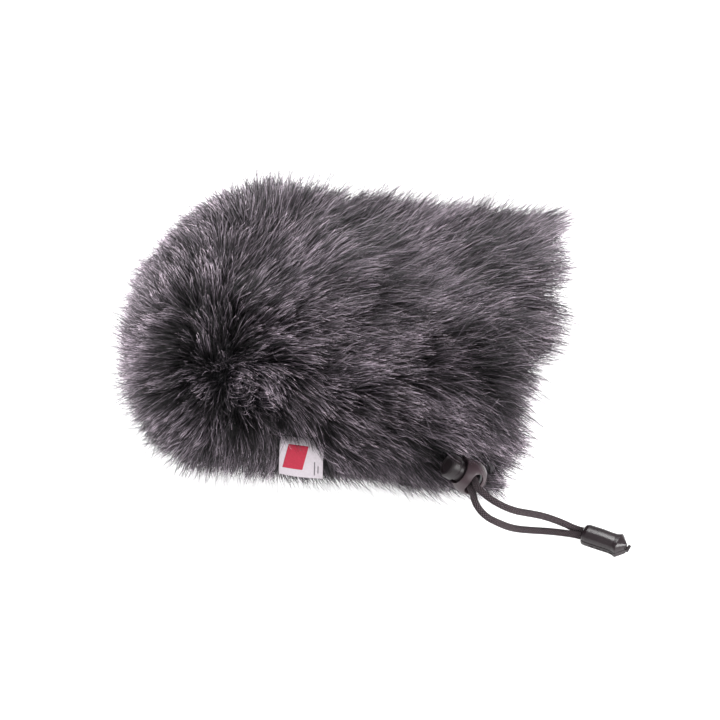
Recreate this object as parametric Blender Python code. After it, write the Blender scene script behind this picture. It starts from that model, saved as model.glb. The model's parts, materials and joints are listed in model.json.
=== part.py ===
"""Furry windscreen: a faux-fur bag that pulls over a microphone or small recorder.

The bag lies on its side, closed dome towards -X and open mouth towards +X. Its lower
panel rests on z = 0. A drawcord runs in a casing round the mouth, comes out through
the front seam, passes a spring-loaded cord lock and ends in a clip-shut cord end.
Metres, +Z up.
"""
import math

import bpy
import bmesh
from mathutils import Matrix, Vector

MM = 0.001

# ---- driving dimensions -------------------------------------------------------------
BAG_HALF_LENGTH = 94 * MM      # pile tips at the dome and at the mouth
PILE_HALF_WIDTH = 71 * MM      # pile tips at the sides
PILE_TOP = 90 * MM
PILE_SAG = 4 * MM              # how far the round underside would pass the table
FABRIC_HALF_WIDTH = 55 * MM    # inner face of the knitted backing
FABRIC_TOP = 74 * MM
FABRIC_BOTTOM = 7 * MM
FABRIC_DOME_TIP = -78 * MM
FABRIC_MOUTH = 76 * MM
SEAM_Z = 42 * MM               # height of the two side seams
CAP_SEAM_X = -50 * MM          # seam between the dome and the two panels
SECTION_POWER = 2.4            # squareness of the bag's cross-section
DOME_POWER = 2.3
MOUTH_ROUND = 12 * MM          # length over which the pile closes in at the mouth
MOUTH_PINCH = 0.13
GAP = 0.3 * MM
HALF_STEPS = 20                # segments along half a cross-section

CASING_X = (60.5 * MM, 75.5 * MM)
CASING_DEPTH = 5 * MM
CASING_HOLE = 1.95 * MM
CASING_INSET = 0.5 * MM        # clearance between the casing and the fabric
CASING_GAP_STEPS = 3           # steps left open above and below the front seam

CORD = 3 * MM                  # diameter of the braided drawcord
CORD_SPREAD = 1.65 * MM        # each strand's offset from the middle of the pair

LOCK_CENTRE = Vector((69.5, -67.0, 42.0)) * MM
CORD_AXIS = Vector((0.384, -0.879, 0.283)).normalized()
PLUNGER_HINT = Vector((-0.763, -0.129, 0.634))
LOCK_RADIUS = 7.75 * MM
LOCK_RIM = 5.4 * MM
LOCK_BORE = 4.7 * MM
LOCK_BORE_FLOOR = -6.0 * MM
STEM_RADIUS = 4.4 * MM
STEM_FOOT = -2.9 * MM
SLOT_HALF_WIDTH = 3.35 * MM
PLUNGER_TRAVEL = 2 * MM
EXIT_BACK = 12 * MM            # from the lock's centre back to the seam
STRAIGHT_AHEAD = 11.5 * MM     # the strands stay straight this far past the lock's centre

CORD_END_ENTRY = Vector((117.5, -56.6, 0.0)) * MM
CORD_END_HEADING = math.radians(-14)
CORD_END_LENGTH = 20.5 * MM
CORD_END_SPLIT = 3.1 * MM

LABEL_X = (-13.5 * MM, 5.5 * MM)
LABEL_THICKNESS = 0.6 * MM

TAPE_HALF_WIDTH = 5 * MM
TAPE_THICKNESS = 0.6 * MM
THREAD = 0.35 * MM             # radius of the sewing thread

# ---- materials: colour, roughness ---------------------------------------------------
LOOKS = {
    "fur": ((0.075, 0.068, 0.076), 0.9),
    "tape": ((0.02, 0.02, 0.022), 0.85),
    "thread": ((0.03, 0.03, 0.032), 0.7),
    "cord": ((0.018, 0.017, 0.018), 0.8),
    "lock": ((0.045, 0.036, 0.038), 0.45),
    "spring": ((0.6, 0.6, 0.62), 0.25),
    "cord_end": ((0.04, 0.034, 0.036), 0.4),
    "label": ((0.62, 0.58, 0.61), 0.8),
}


def make_material(name):
    colour, roughness = LOOKS[name]
    material = bpy.data.materials.new(name)
    material.use_nodes = True
    shader = material.node_tree.nodes["Principled BSDF"]
    shader.inputs["Base Color"].default_value = (*colour, 1.0)
    shader.inputs["Roughness"].default_value = roughness
    shader.inputs["Metallic"].default_value = 1.0 if name == "spring" else 0.0
    return material


# ---- mesh helpers -------------------------------------------------------------------
def add_object(name, verts, faces, look, matrix=None):
    mesh = bpy.data.meshes.new(name)
    mesh.from_pydata([tuple(v) for v in verts], [], faces)
    bm = bmesh.new()
    bm.from_mesh(mesh)
    bmesh.ops.remove_doubles(bm, verts=bm.verts, dist=1e-6)
    bmesh.ops.recalc_face_normals(bm, faces=bm.faces)
    bm.to_mesh(mesh)
    bm.free()
    mesh.materials.append(MATERIALS[look])
    mesh.shade_smooth()
    mesh.set_sharp_from_angle(angle=math.radians(40))
    obj = bpy.data.objects.new(name, mesh)
    bpy.context.collection.objects.link(obj)
    if matrix is not None:
        obj.matrix_world = matrix
    return obj


def grid_faces(rows, columns, start, closed):
    """Quads over a rows x columns grid of vertices; closed joins the last column to the first."""
    faces = []
    spans = columns if closed else columns - 1
    for i in range(rows - 1):
        for j in range(spans):
            k = (j + 1) % columns
            a = start + i * columns
            b = a + columns
            faces.append((a + j, a + k, b + k, b + j))
    return faces


def shell(name, outer, inner, look):
    """A closed thick sheet between two grids of points with open edges all round."""
    rows = len(outer)
    columns = len(outer[0])
    verts = [p for row in outer for p in row]
    verts += [p for row in inner for p in row]
    offset = rows * columns
    faces = grid_faces(rows, columns, 0, False)
    faces += grid_faces(rows, columns, offset, False)
    rim = [j for j in range(columns)]
    rim += [i * columns + columns - 1 for i in range(1, rows)]
    rim += [(rows - 1) * columns + j for j in range(columns - 2, -1, -1)]
    rim += [i * columns for i in range(rows - 2, 0, -1)]
    for a, b in zip(rim, rim[1:] + rim[:1]):
        faces.append((a, b, b + offset, a + offset))
    return add_object(name, verts, faces, look)


def cup(name, outer, inner, look):
    """A closed thick cup: closed rings from the rim to one tip point, outside and inside."""
    columns = len(outer[0])
    rows = len(outer) - 1
    verts = [p for row in outer[:rows] for p in row]
    verts += [p for row in inner[:rows] for p in row]
    offset = rows * columns
    verts += [outer[rows][0], inner[rows][0]]
    faces = grid_faces(rows, columns, 0, True)
    faces += grid_faces(rows, columns, offset, True)
    last = (rows - 1) * columns
    for j in range(columns):
        k = (j + 1) % columns
        faces.append((j, k, k + offset, j + offset))
        faces.append((last + j, last + k, 2 * offset))
        faces.append((offset + last + j, offset + last + k, 2 * offset + 1))
    return add_object(name, verts, faces, look)


def sweep(name, sections, look, closed=False):
    """A solid swept through closed sections; a closed sweep joins the last to the first."""
    columns = len(sections[0])
    rows = len(sections)
    verts = [p for section in sections for p in section]
    faces = grid_faces(rows, columns, 0, True)
    if closed:
        last = (rows - 1) * columns
        for j in range(columns):
            k = (j + 1) % columns
            faces.append((last + j, last + k, k, j))
    else:
        faces.append(tuple(range(columns)))
        faces.append(tuple(range((rows - 1) * columns, rows * columns)))
    return add_object(name, verts, faces, look)


def tube_sections(points, radius, sides, closed=False):
    """Rings round a polyline, carried along without twist."""
    count = len(points)
    rings = []
    normal = None
    for i, point in enumerate(points):
        ahead = points[(i + 1) % count] if closed else points[min(i + 1, count - 1)]
        behind = points[i - 1] if closed or i else points[0]
        tangent = (ahead - behind).normalized()
        if normal is None:
            normal = tangent.orthogonal()
        normal = (normal - tangent * normal.dot(tangent)).normalized()
        side = tangent.cross(normal)
        turns = [2 * math.pi * s / sides for s in range(sides)]
        rings.append([point + radius * (math.cos(t) * normal + math.sin(t) * side) for t in turns])
    return rings


def spin_profile(name, profile, look, matrix, steps=24):
    """A solid of revolution about local Z; the profile is (radius, height), ends on the axis."""
    rings = []
    for radius, height in profile[1:-1]:
        angles = [2 * math.pi * k / steps for k in range(steps)]
        rings.append([Vector((radius * math.cos(a), radius * math.sin(a), height)) for a in angles])
    verts = [p for ring in rings for p in ring]
    faces = grid_faces(len(rings), steps, 0, True)
    first = len(verts)
    verts += [Vector((0, 0, profile[0][1])), Vector((0, 0, profile[-1][1]))]
    last = (len(rings) - 1) * steps
    for j in range(steps):
        k = (j + 1) % steps
        faces.append((j, k, first))
        faces.append((last + j, last + k, first + 1))
    return add_object(name, verts, faces, look, matrix)


def prism(name, outline, low, high, matrix, look="lock"):
    """An outline in local XY extruded along local Z."""
    count = len(outline)
    verts = [Vector((x, y, low)) for x, y in outline]
    verts += [Vector((x, y, high)) for x, y in outline]
    faces = [tuple(range(count)), tuple(range(count, 2 * count))]
    for i in range(count):
        k = (i + 1) % count
        faces.append((i, k, k + count, i + count))
    return add_object(name, verts, faces, look, matrix)


def stadium(a, b, radius, steps=9):
    """Outline of a slot between two centres, as 2D points."""
    a = Vector(a)
    b = Vector(b)
    turn = math.atan2(b.y - a.y, b.x - a.x)
    points = []
    for centre, start in ((b, turn - math.pi / 2), (a, turn + math.pi / 2)):
        for i in range(steps):
            angle = start + math.pi * i / (steps - 1)
            points.append((centre.x + radius * math.cos(angle), centre.y + radius * math.sin(angle)))
    return points


def rectangle(x0, y0, x1, y1):
    return [(x0, y0), (x1, y0), (x1, y1), (x0, y1)]


def as_cutter(obj):
    obj.hide_render = True
    obj.display_type = "WIRE"
    return obj


def cut(obj, *cutters):
    for cutter in cutters:
        modifier = obj.modifiers.new("cut", "BOOLEAN")
        modifier.operation = "DIFFERENCE"
        modifier.object = as_cutter(cutter)


def axes_matrix(x_axis, y_axis, z_axis, origin):
    rotation = Matrix((x_axis, y_axis, z_axis)).transposed()
    return Matrix.Translation(origin) @ rotation.to_4x4()


# ---- the bag's shape ----------------------------------------------------------------
def squircle(angle):
    c = math.cos(angle)
    s = math.sin(angle)
    power = 2 / SECTION_POWER
    return math.copysign(abs(c) ** power, c), math.copysign(abs(s) ** power, s)


def section_point(x, angle, width, top, bottom, scale=1.0, split=0.0):
    """A point on the cross-section; angle 0 is the back seam (+Y), pi the front seam."""
    c, s = squircle(angle)
    rise = (top - SEAM_Z) if s >= 0 else (SEAM_Z - bottom)
    return Vector((x, width * scale * c, max(SEAM_Z + split + rise * scale * s, 0.0)))


def pile_point(x, angle, scale, split=0.0):
    return section_point(x, angle, PILE_HALF_WIDTH, PILE_TOP, -PILE_SAG, scale, split)


def fabric_point(x, angle, scale=1.0, split=0.0, inset=0.0):
    width = FABRIC_HALF_WIDTH - inset
    return section_point(x, angle, width, FABRIC_TOP - inset, FABRIC_BOTTOM + inset, scale, split)


def dome_profile(depth, steps):
    """(distance past the seam, scale) from the rim to the tip of the dome."""
    power = 2 / DOME_POWER
    rows = []
    for i in range(steps + 1):
        angle = math.pi / 2 * i / steps
        rows.append((depth * math.sin(angle) ** power, max(math.cos(angle), 0.0) ** power))
    rows[-1] = (depth, 0.0)
    return rows


def mouth_scale(x):
    past = max(0.0, x - (BAG_HALF_LENGTH - MOUTH_ROUND)) / MOUTH_ROUND
    return 1.0 - MOUTH_PINCH * past * past


def make_end_cap():
    rim = CAP_SEAM_X - GAP / 2
    angles = [math.pi * j / HALF_STEPS for j in range(2 * HALF_STEPS)]
    outer = []
    for past, scale in dome_profile(BAG_HALF_LENGTH + rim, 8):
        outer.append([pile_point(rim - past, a, scale) for a in angles])
    inner = []
    for past, scale in dome_profile(rim - FABRIC_DOME_TIP, 8):
        inner.append([fabric_point(rim - past, a, scale) for a in angles])
    return cup("fur_end_cap", outer, inner, "fur")


def make_panel(name, side):
    """One body panel: side +1 is the upper panel, -1 the lower one."""
    start = CAP_SEAM_X + GAP / 2
    split = side * GAP / 2
    angles = [side * math.pi * j / HALF_STEPS for j in range(HALF_STEPS + 1)]
    outer = []
    inner = []
    for share in (0, 0.15, 0.3, 0.45, 0.6, 0.75, 0.86, 0.94, 1.0):
        x_out = start + share * (BAG_HALF_LENGTH - start)
        x_in = start + share * (FABRIC_MOUTH - start)
        outer.append([pile_point(x_out, a, mouth_scale(x_out), split) for a in angles])
        inner.append([fabric_point(x_in, a, 1.0, split) for a in angles])
    return shell(name, outer, inner, "fur")


def seam_tape(name, side):
    """Straight binding over a side seam, inside the bag; side +1 is the back seam."""
    y_out = side * (FABRIC_HALF_WIDTH - 2 * GAP)
    y_in = y_out - side * TAPE_THICKNESS
    x0 = CAP_SEAM_X + 7 * MM
    x1 = CASING_X[0] - 2 * MM
    corners = [(y_out, -1), (y_out, 1), (y_in, 1), (y_in, -1)]
    ends = []
    for x in (x0, x1):
        ends.append([Vector((x, y, SEAM_Z + up * TAPE_HALF_WIDTH)) for y, up in corners])
    return sweep(name, ends, "tape")


def cap_tape():
    """Ring of binding over the seam between the dome and the panels."""
    sections = []
    for j in range(2 * HALF_STEPS):
        angle = math.pi * j / HALF_STEPS
        x0 = CAP_SEAM_X - 4 * MM
        x1 = CAP_SEAM_X + 5 * MM
        dome = 0.985
        sections.append([
            fabric_point(x0, angle, dome, 0.0, GAP),
            fabric_point(x1, angle, 1.0, 0.0, GAP),
            fabric_point(x1, angle, 1.0, 0.0, GAP + TAPE_THICKNESS),
            fabric_point(x0, angle, dome, 0.0, GAP + TAPE_THICKNESS),
        ])
    return sweep("cap_seam_tape", sections, "tape", closed=True)


def side_thread(name, side):
    """Lockstitch along a side seam, over its tape."""
    y = side * (FABRIC_HALF_WIDTH - 2 * GAP - TAPE_THICKNESS - THREAD - GAP - 0.15 * MM)
    stitches = 24
    x0 = CAP_SEAM_X + 9 * MM
    x1 = CASING_X[0] - 4 * MM
    points = []
    for i in range(2 * stitches + 1):
        x = x0 + (x1 - x0) * i / (2 * stitches)
        lift = 0.15 * MM if i % 2 else -0.15 * MM
        points.append(Vector((x, y + side * lift, SEAM_Z)))
    return sweep(name, tube_sections(points, THREAD, 5), "thread")


def cap_thread():
    """Lockstitch ring over the dome seam's tape."""
    points = []
    for j in range(4 * HALF_STEPS):
        angle = math.pi * j / (2 * HALF_STEPS)
        depth = GAP + TAPE_THICKNESS + THREAD + 2 * GAP + (0.15 * MM if j % 2 else 0.0)
        points.append(fabric_point(CAP_SEAM_X + 1 * MM, angle, 1.0, 0.0, depth))
    return sweep("cap_seam_thread", tube_sections(points, THREAD, 4, True), "thread", closed=True)


# ---- the casing round the mouth -----------------------------------------------------
def casing_angles():
    """From just above the front seam, over the top, the back and the bottom, to just below."""
    first = HALF_STEPS - CASING_GAP_STEPS
    last = -first
    return [math.pi * j / HALF_STEPS for j in range(first, last - 1, -1)]


def make_casing():
    """A folded channel: a hollow section that is swept round the mouth, open at both ends."""
    x0, x1 = CASING_X
    middle = (x0 + x1) / 2
    outline = []
    for x, depth in ((x0, 1.2), (x0 + 1.2 * MM, 0.0), (x1 - 1.2 * MM, 0.0), (x1, 1.2),
                     (x1, 3.8), (x1 - 1.2 * MM, 5.0), (x0 + 1.2 * MM, 5.0), (x0, 3.8)):
        outline.append((x, depth * MM))
    hole = []
    for k in range(8):
        turn = math.radians(202.5 + 45 * k)
        hole.append((middle + CASING_HOLE * math.cos(turn),
                     CASING_DEPTH / 2 + CASING_HOLE * math.sin(turn)))
    angles = casing_angles()
    verts = []
    for angle in angles:
        for x, depth in outline + hole:
            verts.append(fabric_point(x, angle, 1.0, 0.0, CASING_INSET + depth))
    faces = []
    for i in range(len(angles) - 1):
        for ring in (0, 8):
            for j in range(8):
                k = (j + 1) % 8
                a = 16 * i + ring
                faces.append((a + j, a + k, a + k + 16, a + j + 16))
    for base in (0, 16 * (len(angles) - 1)):
        for j in range(8):
            k = (j + 1) % 8
            faces.append((base + j, base + k, base + 8 + k, base + 8 + j))
    return add_object("mouth_casing", verts, faces, "tape")


def hem_thread():
    """Stitching that holds the casing's inner edge, a C round the mouth."""
    points = []
    angles = casing_angles()[1:-1]
    for i, (a, b) in enumerate(zip(angles, angles[1:])):
        for share in (0.0, 0.5):
            lift = 0.15 * MM if share else 0.0
            depth = CASING_INSET + CASING_DEPTH + THREAD + GAP + lift
            points.append(fabric_point(CASING_X[0] + 3 * MM, a + share * (b - a), 1.0, 0.0, depth + GAP))
    return sweep("hem_thread", tube_sections(points, THREAD, 4), "thread")


def bartack(name, end):
    """A dense bar of stitches across the casing, next to where the cord leaves it."""
    angles = casing_angles()
    a = angles[1] if end > 0 else angles[-2]
    b = angles[2] if end > 0 else angles[-3]
    depth = CASING_INSET + CASING_DEPTH + GAP + 0.1 * MM
    sections = []
    for x, grow in ((-4.0, 0.6), (-3.4, 1.0), (3.4, 1.0), (4.0, 0.6)):
        place = (CASING_X[0] + CASING_X[1]) / 2 + x * MM
        ring = []
        for share, thick in ((0.5 - 0.25 * grow, 0.0), (0.5 + 0.25 * grow, 0.0),
                             (0.5 + 0.2 * grow, 0.8 * grow), (0.5 - 0.2 * grow, 0.8 * grow)):
            ring.append(fabric_point(place, a + share * (b - a), 1.0, 0.0, depth + thick * MM))
        sections.append(ring)
    return sweep(name, sections, "thread")


# ---- the drawcord -------------------------------------------------------------------
def smooth_route(route, spacing):
    """Points read at even spacing from a Catmull-Rom curve through the route's points."""
    padded = [2 * route[0] - route[1], *route, 2 * route[-1] - route[-2]]
    fine = []
    for p0, p1, p2, p3 in zip(padded, padded[1:], padded[2:], padded[3:]):
        for step in range(16):
            t = step / 16
            fine.append(0.5 * (2 * p1 + (p2 - p0) * t + (2 * p0 - 5 * p1 + 4 * p2 - p3) * t ** 2
                               + (3 * p1 - p0 - 3 * p2 + p3) * t ** 3))
    fine.append(route[-1])
    lengths = [0.0]
    for a, b in zip(fine, fine[1:]):
        lengths.append(lengths[-1] + (b - a).length)
    count = max(2, round(lengths[-1] / spacing))
    points = [fine[0]]
    k = 0
    for i in range(1, count):
        target = lengths[-1] * i / count
        while lengths[k + 1] < target:
            k += 1
        share = (target - lengths[k]) / (lengths[k + 1] - lengths[k])
        points.append(fine[k].lerp(fine[k + 1], share))
    points.append(fine[-1])
    return points


def cord_object(name, points):
    curve = bpy.data.curves.new(name, "CURVE")
    curve.dimensions = "3D"
    curve.bevel_depth = CORD / 2
    curve.bevel_resolution = 2
    curve.render_resolution_u = 0
    curve.use_fill_caps = True
    spline = curve.splines.new("POLY")
    spline.points.add(len(points) - 1)
    for place, point in zip(spline.points, points):
        place.co = (*point, 1.0)
    curve.materials.append(MATERIALS["cord"])
    obj = bpy.data.objects.new(name, curve)
    bpy.context.collection.objects.link(obj)
    return obj


def strand_point(along, side):
    """A point on one of the two straight strands through the lock; side +1 is the upper one."""
    return LOCK_CENTRE + along * CORD_AXIS + side * CORD_SPREAD * PAIR_AXIS


def make_held_cord():
    """The drawcord inside the casing, with both ends turned out through the front seam."""
    middle = (CASING_X[0] + CASING_X[1]) / 2
    depth = CASING_INSET + CASING_DEPTH / 2
    ring = [fabric_point(middle, a, 1.0, 0.0, depth) for a in casing_angles()]
    start = -EXIT_BACK - GAP
    upper = [
        strand_point(start, 1),
        strand_point(start - 2.2 * MM, 1),
        strand_point(start - 4.4 * MM, 1),
        Vector((63.6, -48.6, 39.6)) * MM,
        Vector((64.4, -47.4, 43.8)) * MM,
        Vector((66.6, -48.6, 48.8)) * MM,
    ]
    lower = [
        Vector((66.4, -48.8, 27.0)) * MM,
        Vector((63.6, -48.4, 31.6)) * MM,
        strand_point(start - 5.4 * MM, -1),
        strand_point(start - 2.7 * MM, -1),
        strand_point(start, -1),
    ]
    return cord_object("drawcord_in_casing", smooth_route([*upper, *ring, *lower], 4 * MM))


UPPER_TAIL = [                 # after the straight stretch, down to the cord end
    (78.9, -80.7, 47.2),
    (83.3, -82.6, 45.9),
    (87.5, -82.1, 42.8),
    (91.3, -79.4, 38.2),
    (94.6, -74.9, 32.6),
    (97.6, -69.6, 26.3),
    (100.4, -64.5, 20.1),
    (103.2, -60.3, 14.5),
    (106.2, -57.2, 9.8),
    (109.4, -55.4, 6.3),
    (112.5, -54.8, 4.1),
    (115.5, -54.8, 3.1),
]
LOWER_TAIL = [
    (74.8, -82.3, 43.6),
    (77.5, -85.1, 41.8),
    (80.8, -85.8, 38.9),
    (83.8, -84.0, 34.8),
    (85.8, -80.4, 29.5),
    (87.4, -75.8, 23.3),
    (89.3, -71.0, 17.2),
    (92.3, -66.4, 11.8),
    (96.6, -62.6, 7.8),
    (101.9, -59.8, 5.2),
    (107.8, -58.3, 3.8),
    (113.2, -57.9, 3.3),
]


def make_tail(name, side, route):
    """One free strand: out of the seam, through the lock and down to the cord end."""
    points = [strand_point(along * MM, side) for along in (-12, -6, 0, 6, 9, STRAIGHT_AHEAD / MM)]
    points += [Vector(p) * MM for p in route]
    points += [cord_end_place(along * MM, side * CORD_SPREAD, CORD_END_SPLIT) for along in (0.4, 2.9)]
    return cord_object(name, smooth_route(points, 4.5 * MM))


# ---- the cord lock ------------------------------------------------------------------
def lock_matrix():
    return axes_matrix(CORD_AXIS, PAIR_AXIS, PLUNGER_AXIS, LOCK_CENTRE)


def make_barrel():
    arc = []
    rim_angle = math.asin(LOCK_RIM / LOCK_RADIUS)
    for i in range(11):
        angle = -math.pi / 2 + (rim_angle + math.pi / 2) * i / 10
        arc.append((LOCK_RADIUS * math.cos(angle), LOCK_RADIUS * math.sin(angle)))
    arc[0] = (0.0, -LOCK_RADIUS)
    inside = [(LOCK_BORE + 0.3 * MM, LOCK_RIM), (LOCK_BORE, LOCK_RIM - 0.3 * MM),
              (LOCK_BORE, LOCK_BORE_FLOOR), (0.0, LOCK_BORE_FLOOR)]
    barrel = spin_profile("cord_lock_barrel", arc + inside, "lock", lock_matrix())
    across = axes_matrix(PAIR_AXIS, PLUNGER_AXIS, CORD_AXIS, LOCK_CENTRE)
    half = 0.7 * MM
    height = 2.45 * MM
    low = stadium((-2.0 * MM - half, -0.72 * MM), (2.0 * MM + half, -0.72 * MM), height, 9)
    cut(barrel, prism("cord_hole_cutter", low, -10 * MM, 10 * MM, across))
    return barrel


def make_plunger():
    rim = LOCK_RIM + PLUNGER_TRAVEL + GAP
    profile = [
        (0.0, STEM_FOOT),
        (STEM_RADIUS - 0.3 * MM, STEM_FOOT),
        (STEM_RADIUS, STEM_FOOT + 0.3 * MM),
        (STEM_RADIUS, rim),
        (5.0 * MM, rim),
        (5.4 * MM, rim + 0.5 * MM),
        (5.4 * MM, rim + 3.4 * MM),
        (5.0 * MM, rim + 4.1 * MM),
        (4.0 * MM, rim + 4.4 * MM),
        (3.5 * MM, rim + 4.0 * MM),
        (0.0, rim + 4.0 * MM),
    ]
    plunger = spin_profile("cord_lock_plunger", profile, "lock", lock_matrix())
    across = axes_matrix(PAIR_AXIS, PLUNGER_AXIS, CORD_AXIS, LOCK_CENTRE)
    slot = rectangle(-SLOT_HALF_WIDTH, -1.7 * MM, SLOT_HALF_WIDTH, 1.7 * MM + PLUNGER_TRAVEL)
    cut(plunger, prism("plunger_slot_cutter", slot, -10 * MM, 10 * MM, across))
    return plunger


def make_spring():
    wire = 0.25 * MM
    radius = 3.1 * MM
    low = LOCK_BORE_FLOOR + GAP + wire
    high = STEM_FOOT - GAP - wire
    turns = 3
    steps = 12 * turns
    points = []
    for i in range(steps + 1):
        angle = 2 * math.pi * i / 12
        height = low + (high - low) * i / steps
        points.append(Vector((radius * math.cos(angle), radius * math.sin(angle), height)))
    spring = sweep("cord_lock_spring", tube_sections(points, wire, 5), "spring")
    spring.matrix_world = lock_matrix()
    return spring


# ---- the cord end -------------------------------------------------------------------
def cord_end_matrix():
    along = Vector((math.cos(CORD_END_HEADING), math.sin(CORD_END_HEADING), 0.0))
    up = Vector((0, 0, 1))
    return axes_matrix(along, up.cross(along), up, CORD_END_ENTRY)


def cord_end_place(along, across, up):
    return cord_end_matrix() @ Vector((along, across, up))


CORD_END_STATIONS = [          # along, half width, height above the split, depth below it
    (0.0, 3.3, 2.9, 2.5),
    (0.7, 4.0, 3.8, 2.8),
    (2.0, 4.25, 4.2, 2.8),
    (8.0, 4.3, 4.3, 2.8),
    (12.5, 4.2, 4.0, 2.8),
    (14.6, 4.4, 3.9, 2.8),
    (16.6, 5.3, 4.1, 2.8),
    (18.6, 2.9, 3.1, 2.7),
    (20.0, 1.1, 2.2, 2.5),
]


def cord_end_sections(side, inset=0.0):
    """Half-round sections of one shell; side +1 is the lid, -1 the base."""
    sections = []
    for along, half, rise, drop in CORD_END_STATIONS:
        height = rise if side > 0 else drop
        width = half - inset
        tall = height - inset
        parting = side * (GAP / 2 / MM if inset == 0.0 else -1.0)
        squareness = 0.85 if side > 0 else 0.35
        ring = [Vector((along, -width, parting)), Vector((along, width, parting))]
        for k in range(9):
            angle = math.pi * k / 8
            c = math.cos(angle)
            s = math.sin(angle)
            ring.append(Vector((along, width * math.copysign(abs(c) ** squareness, c),
                                side * (GAP + (tall - GAP) * s ** squareness + 0.2))))
        sections.append([p * MM for p in ring])
    if side < 0:
        for ring in sections:
            for p in ring:
                p.z = max(p.z, -CORD_END_SPLIT if inset == 0.0 else -CORD_END_SPLIT + inset * MM)
    return sections


def cord_end_shell(name, side):
    matrix = cord_end_matrix() @ Matrix.Translation((0, 0, CORD_END_SPLIT))
    outer = sweep(name, cord_end_sections(side), "cord_end")
    outer.matrix_world = matrix
    trimmed = cord_end_sections(side, 1.1)
    hollow = sweep(name + "_hollow", trimmed[2:6], "cord_end")
    hollow.matrix_world = matrix
    entry = stadium((0.0, -CORD_SPREAD), (0.0, CORD_SPREAD), CORD / 2 + GAP, 9)
    turned = matrix @ Matrix(((0, 0, 1, 0), (0, 1, 0, 0), (-1, 0, 0, 0), (0, 0, 0, 1)))
    mouth = prism(name + "_entry", entry, -1 * MM, 4 * MM, turned)
    cut(outer, hollow, mouth)
    return outer


def make_cord_end_base():
    base = cord_end_shell("cord_end_base", -1)
    matrix = cord_end_matrix()
    for k in range(4):
        along = (4.6 + 3.1 * k) * MM
        slot = rectangle(along, -6 * MM, along + 1.9 * MM, -3.9 * MM)
        cut(base, prism(f"slot_cutter_{k}", slot, 1.3 * MM, 2.2 * MM, matrix))
    return base


def make_hinge_pin():
    """Pin at the tip that the lid swings on."""
    centre = Vector((CORD_END_LENGTH + 0.4 * MM, 0.0, CORD_END_SPLIT))
    points = [centre + Vector((0, y * MM, 0)) for y in (-1.6, 1.6)]
    pin = sweep("cord_end_hinge", tube_sections(points, 0.75 * MM, 10), "cord_end")
    pin.matrix_world = cord_end_matrix()
    return pin


def make_knot():
    """The two strands knotted together inside the cord end: one lumpy closed body."""
    centre = Vector((8.2, 0.0, 0.0)) * MM
    rings = []
    for i in range(9):
        angle = math.pi * (i + 0.5) / 9
        radius = math.sin(angle)
        lump = 1.0 + 0.1 * math.cos(4 * angle)
        ring = []
        for k in range(14):
            turn = 2 * math.pi * k / 14
            height = 2.3 if math.sin(turn) > 0 else 1.5
            across = 2.75 * radius * lump * math.cos(turn)
            up = height * radius * math.sin(turn)
            ring.append(centre + Vector((-4.6 * math.cos(angle), across, up)) * MM)
        rings.append(ring)
    knot = sweep("drawcord_knot", rings, "cord")
    knot.matrix_world = cord_end_matrix() @ Matrix.Translation((0, 0, CORD_END_SPLIT))
    return knot


# ---- the label ----------------------------------------------------------------------
LABEL_PATH = [                 # the tag's middle line, from the seam down over the pile
    (-57.2, 42.2),
    (-59.4, 42.0),
    (-61.2, 40.6),
    (-62.3, 37.6),
    (-63.0, 33.5),
    (-63.6, 29.0),
    (-64.1, 24.6),
]


def make_label():
    """A woven tag that leaves the front seam and bends down over the pile."""
    path = [Vector((y, z)) * MM for y, z in LABEL_PATH]
    left = []
    right = []
    for i, point in enumerate(path):
        ahead = path[min(i + 1, len(path) - 1)]
        behind = path[max(i - 1, 0)]
        tangent = (ahead - behind).normalized()
        normal = Vector((-tangent.y, tangent.x)) * LABEL_THICKNESS / 2
        left.append(point + normal)
        right.append(point - normal)
    outline = left + right[::-1]
    ends = []
    for x in LABEL_X:
        ends.append([Vector((x, p.x, p.y)) for p in outline])
    return sweep("woven_label", ends, "label")


def label_stitch():
    """The row of stitches that holds the label's root."""
    points = []
    stitches = 8
    for i in range(2 * stitches + 1):
        x = LABEL_X[0] + 1 * MM + (LABEL_X[1] - LABEL_X[0] - 2 * MM) * i / (2 * stitches)
        lift = 0.15 * MM if i % 2 else 0.0
        points.append(Vector((x, -58.3 * MM, 42.95 * MM + lift)))
    return sweep("label_thread", tube_sections(points, 0.25 * MM, 5), "thread")


def make_pockets():
    """Room in the pile for the lock, the cord's way out of the seam, and the label."""
    facing = axes_matrix(Vector((1, 0, 0)), Vector((0, 0, 1)), Vector((0, -1, 0)), Vector())
    lock = stadium((70.8 * MM, 42.0 * MM), (58.8 * MM, 51.2 * MM), 11.6 * MM, 11)
    lock_pocket = prism("lock_pocket", lock, 57 * MM, 100 * MM, facing)
    way_out = prism("cord_way_out", rectangle(60.2 * MM, 30 * MM, 72.5 * MM, 49.5 * MM),
                    50 * MM, 60 * MM, facing)
    margin = 1.2 * MM
    corners = [(-56.9, 44.5), (-56.9, 40.4), (-60.4, 39.4), (-62.6, 22.6), (-90.0, 22.6), (-90.0, 44.5)]
    along_x = axes_matrix(Vector((0, 1, 0)), Vector((0, 0, 1)), Vector((1, 0, 0)), Vector())
    label_pocket = prism("label_pocket", [(y * MM, z * MM) for y, z in corners],
                         LABEL_X[0] - margin, LABEL_X[1] + margin, along_x)
    return lock_pocket, way_out, label_pocket


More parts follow.
